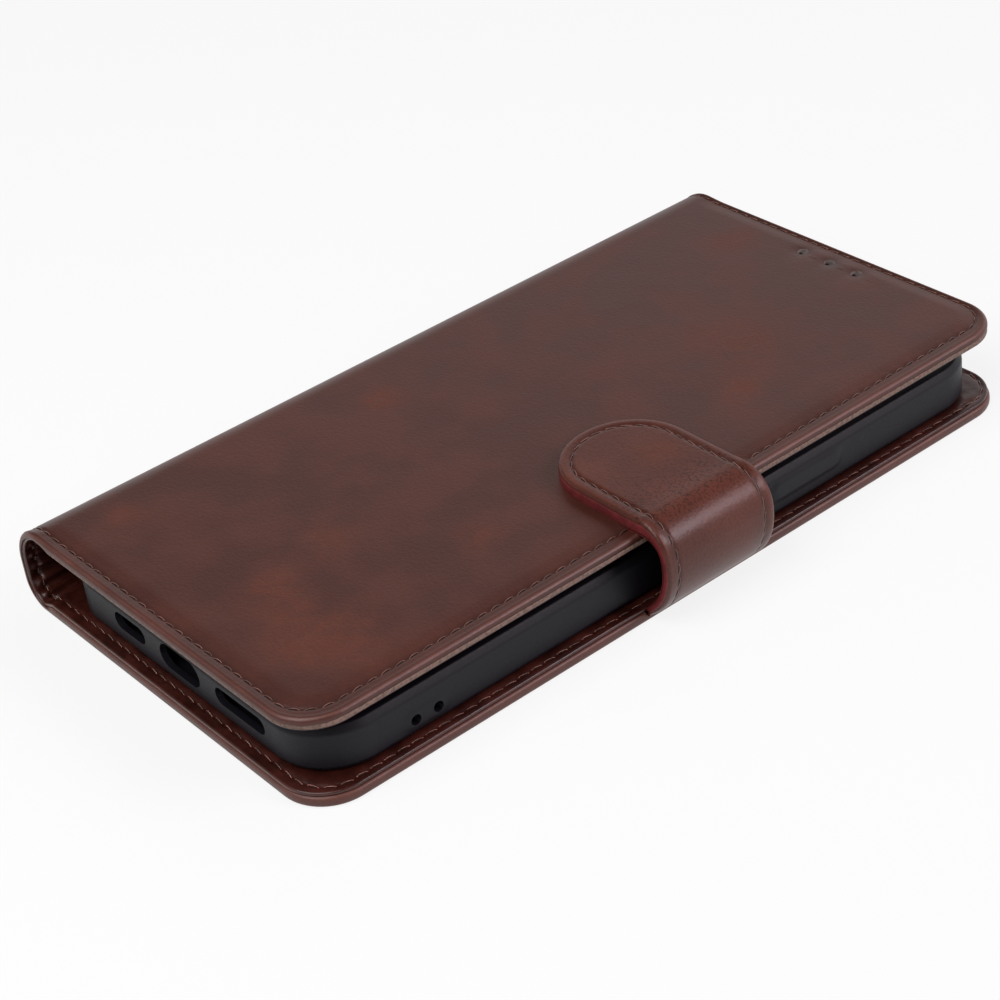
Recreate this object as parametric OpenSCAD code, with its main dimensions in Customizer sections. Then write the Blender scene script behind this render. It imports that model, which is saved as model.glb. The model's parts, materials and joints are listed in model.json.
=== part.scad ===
// Phone wallet case: a folding leather cover around a moulded phone tray, closed by a magnetic strap.
// X runs from the spine to the opening edge, Y from the phone's foot to its head, Z up from the table.

/* [Phone] */
// Length of the phone that the tray holds
phone_l = 160.8; // [140:0.1:175]
// Width of the phone
phone_w = 78.1; // [66:0.1:84]
// Thickness of the phone
phone_t = 7.8; // [6.8:0.1:10]
// Corner radius of the phone's outline
phone_corner_r = 10.6; // [7:0.1:13]
// Gap between the phone and the tray, all round
phone_clear = 0.1; // [0:0.05:0.4]

/* [Tray] */
// Thickness of the tray's side walls
tray_wall = 1.3; // [1:0.1:2]
// Thickness of the tray's floor
tray_floor = 1.2; // [0.8:0.1:2]
// Height of the tray's rim above the phone
lip_h = 0.9; // [0.6:0.1:1.5]
// Reach of the rim over the phone's edge
lip_in = 1.2; // [0.6:0.1:2]
// Height of the leaning shoulder at the top of the wall
shoulder_h = 3.1; // [2:0.1:4]
// How far the shoulder leans in
shoulder_in = 1.2; // [0.4:0.1:1.6]
// Height of the wall's undercut foot
foot_h = 1; // [0.5:0.1:2]
// How far the foot is set in
foot_in = 0.7; // [0.2:0.1:1]
// Thickness of the adhesive sheet under the tray
adhesive_t = 0.2; // [0.1:0.05:0.5]
// Distance from the tray's edge to the adhesive sheet
adhesive_in = 4; // [2:0.5:8]

/* [Tray openings] */
// Width of the charging slot
port_w = 12.4; // [10:0.1:14]
// Height of the charging slot
port_h = 5.2; // [5:0.1:6]
// Height of the two speaker slots
speaker_h = 3.6; // [2:0.1:4.5]
// Width of the speaker slot on the spine side
speaker_short = 9.9; // [6:0.1:12]
// Width of the speaker slot on the opening side
speaker_long = 14.7; // [10:0.1:16]
// Distance from the tray's middle to each speaker slot
speaker_off = 11.1; // [9:0.1:14]
// Radius of the two lanyard holes
lanyard_r = 1.05; // [0.8:0.05:1.5]
// Distance between the two lanyard holes
lanyard_pitch = 4.8; // [4:0.1:8]
// Distance from the phone's foot to the middle of the lanyard holes
lanyard_y = 21.3; // [16:0.1:40]
// Height of the lanyard holes above the tray's floor
lanyard_up = 2; // [1.6:0.1:5]
// How far the lanyard boss stands out
lanyard_boss_t = 0.25; // [0.1:0.05:0.6]
// Distance from the lanyard holes to the edge of their boss
lanyard_rim = 0.8; // [0.5:0.05:0.8]
// Width of the camera window
window_w = 39; // [20:0.5:42]
// Length of the camera window
window_l = 41; // [20:0.5:60]
// Corner radius of the camera window
window_r = 9; // [4:0.5:10]
// Distance from the phone's edges to the camera window
window_in = 3; // [2:0.1:6]

/* [Tray buttons] */
// Height of the raised button pads
pad_h = 3.8; // [3:0.1:5]
// How far the button pads stand out
pad_t = 0.4; // [0.2:0.05:0.8]
// Length of the power button's pad
power_l = 18; // [10:0.5:24]
// Distance from the phone's head to the middle of the power pad
power_y = 49; // [35:0.5:60]
// Length of each volume pad
volume_l = 11; // [8:0.5:14]
// Distance from the phone's head to the middle of the first volume pad
volume_y = 44; // [35:0.5:60]
// Distance between the two volume pads
volume_pitch = 14; // [12:0.5:20]
// Length of the slot for the ringer switch
ringer_l = 8; // [6:0.5:10]
// Height of the slot for the ringer switch
ringer_h = 3.4; // [3:0.1:4]
// Distance from the phone's head to the middle of the ringer slot
ringer_y = 29; // [22:0.5:33]

/* [Cover] */
// Cover left showing beyond each end of the tray
margin_end = 3.2; // [2:0.1:6]
// Cover left showing beside the tray at the opening edge
margin_open = 2.6; // [2:0.1:6]
// Flat cover between the tray and the spine's lower fold
margin_spine = 3; // [2:0.1:5]
// Radius of the cover's two outer corners
corner_r = 9.5; // [5:0.5:14]
// Gap between the tray's rim and the closed card pockets
closing_gap = 0.3; // [0.2:0.05:1]

/* [Plies] */
// Thickness of the outer leather
skin_t = 0.9; // [0.7:0.05:1.2]
// Thickness of the lining
lining_t = 0.7; // [0.5:0.05:1]
// Thickness of the board in the back cover
back_board_t = 1.2; // [1:0.05:2]
// Thickness of the board in the front cover
front_board_t = 0.6; // [0.5:0.05:1.2]
// Thickness of the foam over the front board
foam_t = 0.4; // [0.2:0.05:0.8]
// Width of the leather turned in round each edge
turn_w = 5; // [4:0.1:8]
// Gap between the boards and the turned leather
board_gap = 0.1; // [0.05:0.05:0.4]

/* [Spine] */
// Outer radius of the spine's lower fold
low_r = 5.4; // [4.5:0.1:6]
// Outer radius of the spine's upper fold
high_r = 9.2; // [8:0.1:10]
// Gap left at each fold line between the pieces that it joins
fold_gap = 0.3; // [0.2:0.05:0.5]

/* [Strap] */
// Width of the strap
strap_w = 25.8; // [18:0.2:34]
// Place of the strap's middle along the cover
strap_y = 1.2; // [-20:0.2:12]
// Distance from the opening edge to the tip of the tab
tab_reach = 29.5; // [26:0.5:40]
// Gap between the closed tab and the front cover
tab_gap = 0.3; // [0.2:0.05:0.6]
// Thickness of the strap's reinforcing ply
strap_core_t = 0.9; // [0.8:0.05:1.4]
// How far the strap stands out from the opening edge
strap_out = 6.5; // [6:0.1:8]
// Outer radius of the strap's bend over the front cover
bend_r = 7.3; // [6.8:0.1:8]
// Outer radius of the strap's lower sweep
sweep_r = 12.1; // [11:0.1:12.6]
// Length of strap between the bend and the sweep
strap_rise = 1; // [0.4:0.1:2]
// Length of strap sewn inside the back cover
anchor_l = 15; // [8:0.5:20]

/* [Clasp] */
// Radius of the magnet in the tab
magnet_r = 6; // [4:0.5:8]
// Radius of the steel keeper in the front cover
keeper_r = 7; // [4:0.5:9]

/* [Card pockets] */
// Thickness of each pocket panel
pocket_t = 0.65; // [0.4:0.05:0.8]
// Distance from the cover's edges to the pocket panels
pocket_in = 5; // [4.6:0.1:8]
// Depth of the outermost card pocket
card_depth = 54; // [48:0.5:56]
// Length of the card pockets along the spine
card_l = 96; // [88:0.5:110]
// Distance from one pocket mouth to the next
card_step = 8; // [4:0.5:8.5]
// Place of the card pockets' middle along the cover
card_y = 12; // [-16:0.5:16]
// Depth of the cash pocket
cash_depth = 73.5; // [72:0.5:74]
// Radius of the thumb notch in the cash pocket's mouth
thumb_r = 9; // [6:0.5:12]
// Place of the thumb notch along the cover
thumb_y = -40; // [-60:1:60]

/* [Sound holes] */
// Radius of the three holes over the earpiece
ear_r = 1.1; // [0.8:0.05:1.5]
// Distance between the three holes
ear_pitch = 7.4; // [5:0.1:10]
// Distance from the cover's end to the holes
ear_in = 5.6; // [4.9:0.1:7]
// Place of the middle hole across the cover
ear_x = 1; // [-6:0.1:6]

/* [Stitching] */
// Distance from the cover's edge to the seam
seam_in = 3.2; // [2.8:0.1:3.6]
// Distance from the strap's edge to its seam
strap_seam_in = 2.8; // [2.2:0.1:3.5]
// Distance from the pocket panels' edges to their seam
pocket_seam_in = 1.6; // [1.2:0.1:2.5]
// Distance from the camera window to the seam round it
window_seam_in = 2.4; // [1.8:0.1:3]
// Width of the line of thread
thread_w = 0.6; // [0.4:0.05:0.8]
// Height of the line of thread
thread_t = 0.2; // [0.1:0.05:0.25]
// Depth of the thread's upper side below the leather
thread_sink = 0.05; // [0.02:0.01:0.1]
// Gap beside the thread in its groove
groove_gap = 0.1; // [0.05:0.05:0.2]

/* [Hidden] */
$fn = 48;
// Overlap that carries a cut clear of a face
cut = 1;
// Length that reaches past any ply from a fold's centre
reach = 40;
// Half length of a fold's slit, past both faces of the leather
slit_reach = 10;
// Overlap that keeps a fold's slit from leaving a shaving
shave = 0.05;
// Angles at which the spine's two folds are parted from the covers
low_fold_a = 225;
high_fold_a = 135;
// Angle at which the strap's bend is parted between strap and tab
bend_fold_a = 45;

ply_t = skin_t + lining_t;
back_t = skin_t + back_board_t + lining_t;
front_core_t = foam_t + front_board_t;
front_t = skin_t + front_core_t + lining_t;
strap_t = skin_t + strap_core_t + lining_t;

// The tray, round the phone
cavity_l = phone_l + 2 * phone_clear;
cavity_w = phone_w + 2 * phone_clear;
cavity_r = phone_corner_r + phone_clear;
tray_l = cavity_l + 2 * tray_wall;
tray_w = cavity_w + 2 * tray_wall;
tray_r = cavity_r + tray_wall;
tray_z = back_t + adhesive_t;
cavity_z = tray_z + tray_floor;
cavity_top = cavity_z + phone_t + phone_clear;
tray_top = cavity_top + lip_h;
phone_mid_z = cavity_z + phone_t / 2;
lanyard_z = cavity_z + lanyard_up;
lanyard_boss_h = 2 * (lanyard_r + lanyard_rim);

// The cover, round the tray
cover_l = tray_l + 2 * margin_end;
edge_x = tray_w / 2 + margin_open;
seam_y = cover_l / 2 - seam_in;
card_pockets = 3;
pocket_panels = card_pockets + 1;
pocket_stack_t = pocket_panels * pocket_t;
front_z = tray_top + closing_gap + pocket_stack_t;
front_top = front_z + front_t;

// The spine, an upright C from the back cover to the front cover
low_c = [-tray_w / 2 - margin_spine, low_r];
spine_x = low_c[0] - low_r;
high_c = [spine_x + high_r, front_top - high_r];
spine_mid_z = (low_c[1] + high_c[1]) / 2;
ramp_w = margin_spine;
fold_bead_r = skin_t / 2;
low_hinge = polar(low_c, low_r - fold_bead_r, low_fold_a);
mid_hinge = [spine_x + fold_bead_r, spine_mid_z];
high_hinge = polar(high_c, high_r - fold_bead_r, high_fold_a);

// The strap, a J from the back cover's edge up and over the front cover
strap_x = edge_x + strap_out;
strap_top = front_top + tab_gap + strap_t;
bend_c = [strap_x - bend_r, strap_top - bend_r];
sweep_c = [strap_x - sweep_r, bend_c[1] - strap_rise];
root_hinge = [edge_x, skin_t + back_board_t / 2];
root_bead_r = back_board_t / 2;
core_mid_r = sweep_r - skin_t - strap_core_t / 2;
root_a = -acos((root_hinge[0] - sweep_c[0]) / core_mid_r);
bend_hinge = polar(bend_c, bend_r - fold_bead_r, bend_fold_a);
tab_tip_x = edge_x - tab_reach;
tab_round_c = [tab_tip_x + strap_w / 2, strap_y];

// The pockets, under the front lining
pocket_x = edge_x - pocket_in;

thread_low = thread_sink + thread_t;
groove_w = thread_w + 2 * groove_gap;
window_at = [phone_w / 2 - window_in - window_w / 2, phone_l / 2 - window_in - window_l / 2];

leather = "#5c3f3b";
lining_colour = "#3a150e";
board_colour = "#8a7a68";
thread_colour = "#4a201c";
tray_colour = "#2f2e33";
adhesive_colour = "#d8d2c4";
foam_colour = "#c9b9a4";
steel = "#9a9a9e";
edge_red = "#7a2a2c";

function polar(c, r, a) = [c[0] + r * cos(a), c[1] + r * sin(a)];

// Carries an X-Z outline along Y for a width w, centred on y
module along_y(w, y = 0) {
    translate([0, y + w / 2, 0])
        rotate([90, 0, 0])
            linear_extrude(w) children();
}

// Carries an X-Z outline along Y at the cover's two end seams
module at_end_seams(w) {
    for (side = [-1, 1]) along_y(w, side * seam_y) children();
}

// Carries an X-Z outline along Y at the strap's two side seams
module at_strap_seams(w) {
    for (side = [-1, 1]) along_y(w, strap_y + side * (strap_w / 2 - strap_seam_in)) children();
}

// Part of a flat ring about c, from angle a0 to a1
module ring_part(c, r_out, r_in, a0, a1) {
    intersection() {
        difference() {
            translate(c) circle(r_out);
            translate(c) circle(r_in);
        }
        polygon([c, polar(c, reach, a0), polar(c, reach, a1)]);
    }
}

// Rounded rectangle centred on the origin
module round_rect(w, l, r) {
    square([w - 2 * r, l], center = true);
    square([w, l - 2 * r], center = true);
    for (x = [-1, 1], y = [-1, 1]) translate([x * (w / 2 - r), y * (l / 2 - r)]) circle(r);
}

// Space that a fold needs beside its line at p, on the side that swings
module fold_space(p, a, side) {
    translate(p) circle(fold_bead_r + fold_gap);
    translate(p)
        rotate(a)
            translate([-slit_reach, side > 0 ? -shave : -fold_gap])
                square([2 * slit_reach, fold_gap + shave]);
}

// Outline of a cover panel from x0 to the opening edge, drawn in by inset on its three open sides
module panel(x0, inset = 0) {
    r = corner_r - inset;
    x1 = edge_x - inset;
    y1 = cover_l / 2 - inset;
    translate([x0, -y1]) square([x1 - r - x0, 2 * y1]);
    translate([x1 - r, r - y1]) square([r, 2 * (y1 - r)]);
    for (side = [-1, 1]) translate([x1 - r, side * (y1 - r)]) circle(r);
}

// Line of width w along the panel's three open sides
module panel_seam(x0, w) {
    difference() {
        panel(x0, seam_in - w / 2);
        panel(x0 - cut, seam_in + w / 2);
    }
}

module flat(z, t) {
    translate([0, 0, z]) linear_extrude(t) children();
}

module camera_window(grow = 0) {
    translate(window_at) round_rect(window_w + 2 * grow, window_l + 2 * grow, window_r + grow);
}

module window_seam(w) {
    difference() {
        camera_window(window_seam_in + w / 2);
        camera_window(window_seam_in - w / 2);
    }
}

// ---- Spine profiles, from depth d0 to d1 below the leather's face ----

module back_roll(d0, d1) {
    ring_part(low_c, low_r - d0, low_r - d1, low_fold_a, 270);
}

module lower_roll(d0, d1) {
    difference() {
        union() {
            ring_part(low_c, low_r - d0, low_r - d1, 180, low_fold_a);
            translate([spine_x + d0, low_c[1]]) square([d1 - d0, spine_mid_z - low_c[1]]);
        }
        fold_space(low_hinge, low_fold_a, -1);
    }
}

module upper_roll(d0, d1) {
    difference() {
        union() {
            translate([spine_x + d0, spine_mid_z]) square([d1 - d0, high_c[1] - spine_mid_z]);
            ring_part(high_c, high_r - d0, high_r - d1, high_fold_a, 180);
        }
        fold_space(mid_hinge, 180, -1);
    }
}

module front_roll(d0, d1) {
    difference() {
        ring_part(high_c, high_r - d0, high_r - d1, 90, high_fold_a);
        fold_space(high_hinge, high_fold_a, -1);
    }
}

module fold_bead(p) {
    translate(p) circle(fold_bead_r);
}

// ---- Back cover ----

// Where the sewn end of the strap lies between leather and lining
module anchor_bay(gap) {
    translate([edge_x - anchor_l - gap, strap_y - strap_w / 2 - gap])
        square([anchor_l + gap + cut, strap_w + 2 * gap]);
}

module back_skin() color(leather) {
    difference() {
        union() {
            flat(0, skin_t) panel(low_c[0]);
            flat(0, skin_t + back_board_t) difference() {
                panel(low_c[0] + ramp_w);
                panel(low_c[0], turn_w);
                anchor_bay(board_gap);
            }
            flat(0, skin_t + back_board_t) camera_window(turn_w);
            along_y(cover_l) back_roll(0, skin_t);
            along_y(cover_l) fold_bead(low_hinge);
        }
        flat(-cut, back_t + 2 * cut) camera_window();
        flat(-cut, cut + thread_low) panel_seam(low_c[0], groove_w);
        flat(-cut, cut + thread_low) window_seam(groove_w);
        at_end_seams(groove_w) back_roll(-cut, thread_low);
    }
}

module back_board() color(board_colour) {
    flat(skin_t, back_board_t) difference() {
        panel(low_c[0] + ramp_w, turn_w + board_gap);
        camera_window(turn_w + board_gap);
        anchor_bay(board_gap);
    }
}

module back_lining_2d() {
    difference() {
        panel(low_c[0] + ramp_w);
        camera_window();
        intersection() {
            anchor_bay(fold_gap);
            translate([root_hinge[0] - root_bead_r - 2 * fold_gap, -cover_l]) square(2 * cover_l);
        }
    }
}

module back_lining() color(lining_colour) {
    lining_z = back_t - lining_t;
    difference() {
        union() {
            flat(lining_z, lining_t) back_lining_2d();
            along_y(cover_l) polygon([
                [low_c[0], skin_t],
                [low_c[0] + ramp_w, lining_z],
                [low_c[0] + ramp_w, back_t],
                [low_c[0], ply_t]
            ]);
            along_y(cover_l) back_roll(skin_t, ply_t);
        }
        flat(back_t - thread_low, cut + thread_low) panel_seam(low_c[0] + ramp_w, groove_w);
    }
}

module back_stitching() color(thread_colour) {
    flat(thread_sink, thread_t) panel_seam(low_c[0], thread_w);
    flat(thread_sink, thread_t) window_seam(thread_w);
    at_end_seams(thread_w) back_roll(thread_sink, thread_low);
    flat(back_t - thread_low, thread_t) panel_seam(low_c[0] + ramp_w, thread_w);
}

module strap_anchor() color(leather) {
    translate([edge_x - anchor_l, strap_y - strap_w / 2, skin_t]) cube([anchor_l, strap_w, back_board_t]);
    along_y(strap_w, strap_y) translate(root_hinge) circle(root_bead_r);
}

// ---- Phone tray ----

// Outline of a band from height z0 to z1, drawn in from half by in0 at its foot and by in1 at its top
module band_outline(half, z0, z1, in0, in1) {
    polygon([[in0 - half, z0], [half - in0, z0], [half - in1, z1], [in1 - half, z1]]);
}

module tray_band(z0, z1, in0, in1) {
    straight_w = tray_w - 2 * tray_r;
    straight_l = tray_l - 2 * tray_r;
    along_y(straight_l) band_outline(tray_w / 2, z0, z1, in0, in1);
    rotate([0, 0, 90]) along_y(straight_w) band_outline(tray_l / 2, z0, z1, in0, in1);
    for (x = [-1, 1], y = [-1, 1])
        translate([x * straight_w / 2, y * straight_l / 2, z0])
            cylinder(h = z1 - z0, r1 = tray_r - in0, r2 = tray_r - in1);
}

module tray_body() {
    shoulder_z = tray_top - shoulder_h;
    tray_band(tray_z, tray_z + foot_h, foot_in, 0);
    tray_band(tray_z + foot_h, shoulder_z, 0, 0);
    tray_band(shoulder_z, tray_top, 0, shoulder_in);
}

// Slot with round ends through an end wall
module end_slot(x, z, w, h) {
    for (side = [-1, 1])
        translate([x + side * (w - h) / 2, -tray_l / 2 - cut, z])
            rotate([-90, 0, 0]) cylinder(h = tray_wall + 2 * cut, r = h / 2);
    translate([x - (w - h) / 2, -tray_l / 2 - cut, z - h / 2]) cube([w - h, tray_wall + 2 * cut, h]);
}

// Bar with round ends on a side wall, from x0 to x1
module side_bar(x0, x1, y, z, l, h) {
    for (side = [-1, 1])
        translate([x0, y + side * (l - h) / 2, z])
            rotate([0, 90, 0]) cylinder(h = x1 - x0, r = h / 2);
    translate([x0, y - (l - h) / 2, z - h / 2]) cube([x1 - x0, l - h, h]);
}

module button_pads() {
    half = tray_w / 2;
    head = phone_l / 2;
    side_bar(half - tray_wall / 2, half + pad_t, head - power_y, phone_mid_z, power_l, pad_h);
    for (i = [0, 1])
        side_bar(-half - pad_t, tray_wall / 2 - half, head - volume_y - i * volume_pitch, phone_mid_z,
            volume_l, pad_h);
    side_bar(half - tray_wall / 2, half + lanyard_boss_t, lanyard_y - phone_l / 2, lanyard_z,
        lanyard_pitch + lanyard_boss_h, lanyard_boss_h);
}

module tray_openings() {
    speaker_y = [-speaker_off - speaker_short / 2, speaker_off + speaker_long / 2];
    end_slot(0, phone_mid_z, port_w, port_h);
    end_slot(speaker_y[0], phone_mid_z, speaker_short, speaker_h);
    end_slot(speaker_y[1], phone_mid_z, speaker_long, speaker_h);
    side_bar(-tray_w / 2 - cut, cut - cavity_w / 2, phone_l / 2 - ringer_y, phone_mid_z, ringer_l, ringer_h);
    for (side = [-1, 1])
        translate([cavity_w / 2 - cut, lanyard_y - phone_l / 2 + side * lanyard_pitch / 2, lanyard_z])
            rotate([0, 90, 0]) cylinder(h = tray_wall + lanyard_boss_t + 2 * cut, r = lanyard_r);
    flat(tray_z - cut, tray_floor + 2 * cut) camera_window();
}

module phone_tray() color(tray_colour) {
    difference() {
        union() {
            tray_body();
            button_pads();
        }
        flat(cavity_z, cavity_top - cavity_z) round_rect(cavity_w, cavity_l, cavity_r);
        flat(cavity_top - cut, lip_h + 2 * cut)
            round_rect(cavity_w - 2 * lip_in, cavity_l - 2 * lip_in, cavity_r - lip_in);
        tray_openings();
    }
}

module tray_adhesive() color(adhesive_colour) {
    flat(back_t, adhesive_t) difference() {
        round_rect(tray_w - 2 * adhesive_in, tray_l - 2 * adhesive_in, tray_r - adhesive_in);
        camera_window(board_gap);
    }
}

// ---- Spine ----

module spine_lower_skin() color(leather) {
    difference() {
        along_y(cover_l) lower_roll(0, skin_t);
        at_end_seams(groove_w) lower_roll(-cut, thread_low);
    }
    along_y(cover_l) fold_bead(mid_hinge);
}

module spine_lower_lining() color(lining_colour) {
    difference() {
        along_y(cover_l) lower_roll(skin_t, ply_t);
        at_end_seams(groove_w) lower_roll(ply_t - thread_low, ply_t + cut);
    }
}

module spine_lower_stitching() color(thread_colour) {
    at_end_seams(thread_w) difference() {
        lower_roll(thread_sink, thread_low);
        fold_bead(mid_hinge);
    }
    at_end_seams(thread_w) lower_roll(ply_t - thread_low, ply_t - thread_sink);
}

module spine_upper_skin() color(leather) {
    difference() {
        along_y(cover_l) upper_roll(0, skin_t);
        at_end_seams(groove_w) upper_roll(-cut, thread_low);
    }
    along_y(cover_l) fold_bead(high_hinge);
}

module spine_upper_lining() color(lining_colour) {
    difference() {
        along_y(cover_l) upper_roll(skin_t, ply_t);
        at_end_seams(groove_w) upper_roll(ply_t - thread_low, ply_t + cut);
    }
}

module spine_upper_stitching() color(thread_colour) {
    at_end_seams(thread_w) difference() {
        upper_roll(thread_sink, thread_low);
        fold_bead(high_hinge);
    }
    at_end_seams(thread_w) upper_roll(ply_t - thread_low, ply_t - thread_sink);
}

// ---- Front cover ----

module ear_holes() {
    for (i = [-1, 0, 1])
        translate([ear_x + i * ear_pitch, cover_l / 2 - ear_in, front_z - cut])
            cylinder(h = front_t + 2 * cut, r = ear_r);
}

module front_core(t, z) {
    flat(z, t) panel(high_c[0] + ramp_w, turn_w + board_gap);
}

module front_skin() color(leather) {
    core_z = front_z + lining_t;
    difference() {
        union() {
            flat(front_top - skin_t, skin_t) panel(high_c[0]);
            flat(core_z, front_core_t + skin_t) difference() {
                panel(high_c[0] + ramp_w);
                panel(high_c[0], turn_w);
            }
            along_y(cover_l) front_roll(0, skin_t);
        }
        flat(front_top - thread_low, thread_low + cut) panel_seam(high_c[0], groove_w);
        at_end_seams(groove_w) front_roll(-cut, thread_low);
        ear_holes();
    }
}

module front_foam() color(foam_colour) {
    difference() {
        front_core(foam_t, front_top - skin_t - foam_t);
        ear_holes();
    }
}

module front_board() color(board_colour) {
    difference() {
        front_core(front_board_t, front_z + lining_t);
        ear_holes();
        translate([tab_round_c[0], tab_round_c[1], front_z])
            cylinder(h = front_t, r = keeper_r + board_gap);
    }
}

module front_lining() color(lining_colour) {
    difference() {
        union() {
            flat(front_z, lining_t) panel(high_c[0] + ramp_w);
            along_y(cover_l) polygon([
                [high_c[0], front_top - ply_t],
                [high_c[0] + ramp_w, front_z],
                [high_c[0] + ramp_w, front_z + lining_t],
                [high_c[0], front_top - skin_t]
            ]);
            along_y(cover_l) front_roll(skin_t, ply_t);
        }
        flat(front_z - cut, cut + thread_low) panel_seam(high_c[0] + ramp_w, groove_w);
        ear_holes();
    }
}

module front_stitching() color(thread_colour) {
    flat(front_top - thread_low, thread_t) panel_seam(high_c[0], thread_w);
    at_end_seams(thread_w) front_roll(thread_sink, thread_low);
    flat(front_z + thread_sink, thread_t) panel_seam(high_c[0] + ramp_w, thread_w);
}

module clasp_keeper() color(steel) {
    translate([tab_round_c[0], tab_round_c[1], front_z + lining_t]) cylinder(h = front_board_t, r = keeper_r);
}

// ---- Pockets ----

// Top of the pocket panel that lies n plies below the lining
function pocket_z(n) = front_z - n * pocket_t;

// Card pocket n, counted from the cash pocket outwards
module card_panel(n) {
    depth = card_depth + (3 - n) * card_step;
    difference() {
        translate([pocket_x - depth, card_y - card_l / 2, pocket_z(n + 1)]) cube([depth, card_l, pocket_t]);
        if (n == card_pockets) flat(pocket_z(pocket_panels) - cut, cut + thread_low) card_seam(groove_w);
    }
}

// Seam round the three closed sides of the outermost card pocket
module card_seam(w) {
    inner = pocket_seam_in + w / 2;
    outer = pocket_seam_in - w / 2;
    difference() {
        translate([pocket_x - card_depth, outer + card_y - card_l / 2])
            square([card_depth - outer, card_l - 2 * outer]);
        translate([pocket_x - card_depth - cut, inner + card_y - card_l / 2])
            square([card_depth + cut - inner, card_l - 2 * inner]);
    }
}

module cash_pocket() color(lining_colour) {
    pocket_l = cover_l - 2 * pocket_in;
    flat(pocket_z(1), pocket_t) difference() {
        translate([pocket_x - cash_depth, -pocket_l / 2]) square([cash_depth, pocket_l]);
        translate([pocket_x - cash_depth, thumb_y]) circle(thumb_r);
    }
}

module card_pocket_inner() color(lining_colour) card_panel(1);

module card_pocket_middle() color(lining_colour) card_panel(2);

module card_pocket_outer() color(lining_colour) card_panel(card_pockets);

module pocket_stitching() color(thread_colour) {
    flat(pocket_z(pocket_panels) + thread_sink, thread_t) card_seam(thread_w);
}

// ---- Strap and tab profiles, from depth d0 to d1 below the leather's face ----

module strap_neck() {
    translate([root_hinge[0] - strap_core_t / 2, root_hinge[1]])
        square([strap_core_t, sweep_c[1] - root_hinge[1] + core_mid_r * sin(root_a)]);
}

module strap_roll(d0, d1) {
    ring_part(sweep_c, sweep_r - d0, sweep_r - d1, root_a, 0);
    translate([strap_x - d1, sweep_c[1]]) square([d1 - d0, strap_rise]);
    ring_part(bend_c, bend_r - d0, bend_r - d1, 0, bend_fold_a);
}

module tab_roll(d0, d1) {
    difference() {
        union() {
            ring_part(bend_c, bend_r - d0, bend_r - d1, bend_fold_a, 90);
            translate([tab_tip_x, strap_top - d1]) square([bend_c[0] - tab_tip_x, d1 - d0]);
        }
        fold_space(bend_hinge, bend_fold_a, 1);
    }
}

// Plan of the tab, drawn in by inset
module tab_plan(inset = 0) {
    r = strap_w / 2 - inset;
    translate(tab_round_c) circle(r);
    translate([tab_round_c[0], strap_y - r]) square([strap_x - tab_round_c[0] + cut, 2 * r]);
}

module tab_ply(d0, d1) {
    intersection() {
        along_y(strap_w, strap_y) tab_roll(d0, d1);
        flat(0, strap_top + cut) tab_plan();
    }
}

module tab_seam(d0, d1, w) {
    intersection() {
        along_y(strap_w, strap_y) tab_roll(d0, d1);
        flat(0, strap_top + 2 * cut) difference() {
            tab_plan(strap_seam_in - w / 2);
            tab_plan(strap_seam_in + w / 2);
        }
    }
}

module strap_skin() color(leather) {
    difference() {
        along_y(strap_w, strap_y) difference() {
            strap_roll(0, skin_t);
            strap_neck();
        }
        at_strap_seams(groove_w) strap_roll(-cut, thread_low);
    }
    along_y(strap_w, strap_y) fold_bead(bend_hinge);
}

module strap_core() color(edge_red) {
    along_y(strap_w, strap_y) difference() {
        union() {
            strap_roll(skin_t, skin_t + strap_core_t);
            strap_neck();
        }
        translate(root_hinge) circle(root_bead_r + fold_gap);
    }
}

module strap_lining() color(lining_colour) {
    difference() {
        along_y(strap_w, strap_y) difference() {
            strap_roll(skin_t + strap_core_t, strap_t);
            strap_neck();
        }
        at_strap_seams(groove_w) strap_roll(strap_t - thread_low, strap_t + cut);
    }
}

module strap_stitching() color(thread_colour) {
    at_strap_seams(thread_w) difference() {
        strap_roll(thread_sink, thread_low);
        fold_bead(bend_hinge);
        strap_neck();
    }
    at_strap_seams(thread_w) strap_roll(strap_t - thread_low, strap_t - thread_sink);
}

module tab_skin() color(leather) {
    difference() {
        tab_ply(0, skin_t);
        tab_seam(-cut, thread_low, groove_w);
    }
}

module tab_core() color(edge_red) {
    difference() {
        tab_ply(skin_t, skin_t + strap_core_t);
        translate([tab_round_c[0], tab_round_c[1], front_top])
            cylinder(h = strap_t + tab_gap, r = magnet_r + board_gap);
    }
}

module tab_lining() color(lining_colour) {
    difference() {
        tab_ply(skin_t + strap_core_t, strap_t);
        tab_seam(strap_t - thread_low, strap_t + cut, groove_w);
    }
}

module tab_magnet() color(steel) {
    translate([tab_round_c[0], tab_round_c[1], strap_top - skin_t - strap_core_t])
        cylinder(h = strap_core_t, r = magnet_r);
}

module tab_stitching() color(thread_colour) {
    tab_seam(thread_sink, thread_low, thread_w);
    tab_seam(strap_t - thread_low, strap_t - thread_sink, thread_w);
}

back_skin();
back_board();
back_lining();
back_stitching();
strap_anchor();
tray_adhesive();
phone_tray();
spine_lower_skin();
spine_lower_lining();
spine_lower_stitching();
spine_upper_skin();
spine_upper_lining();
spine_upper_stitching();
front_skin();
front_foam();
front_board();
front_lining();
front_stitching();
clasp_keeper();
cash_pocket();
card_pocket_inner();
card_pocket_middle();
card_pocket_outer();
pocket_stitching();
strap_skin();
strap_core();
strap_lining();
strap_stitching();
tab_skin();
tab_core();
tab_lining();
tab_magnet();
tab_stitching();
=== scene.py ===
import json
import math
from functools import partial

import bmesh
import bpy
from bpy.props import FloatProperty, FloatVectorProperty, PointerProperty
from mathutils import Matrix, Quaternion, Vector, noise


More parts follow.
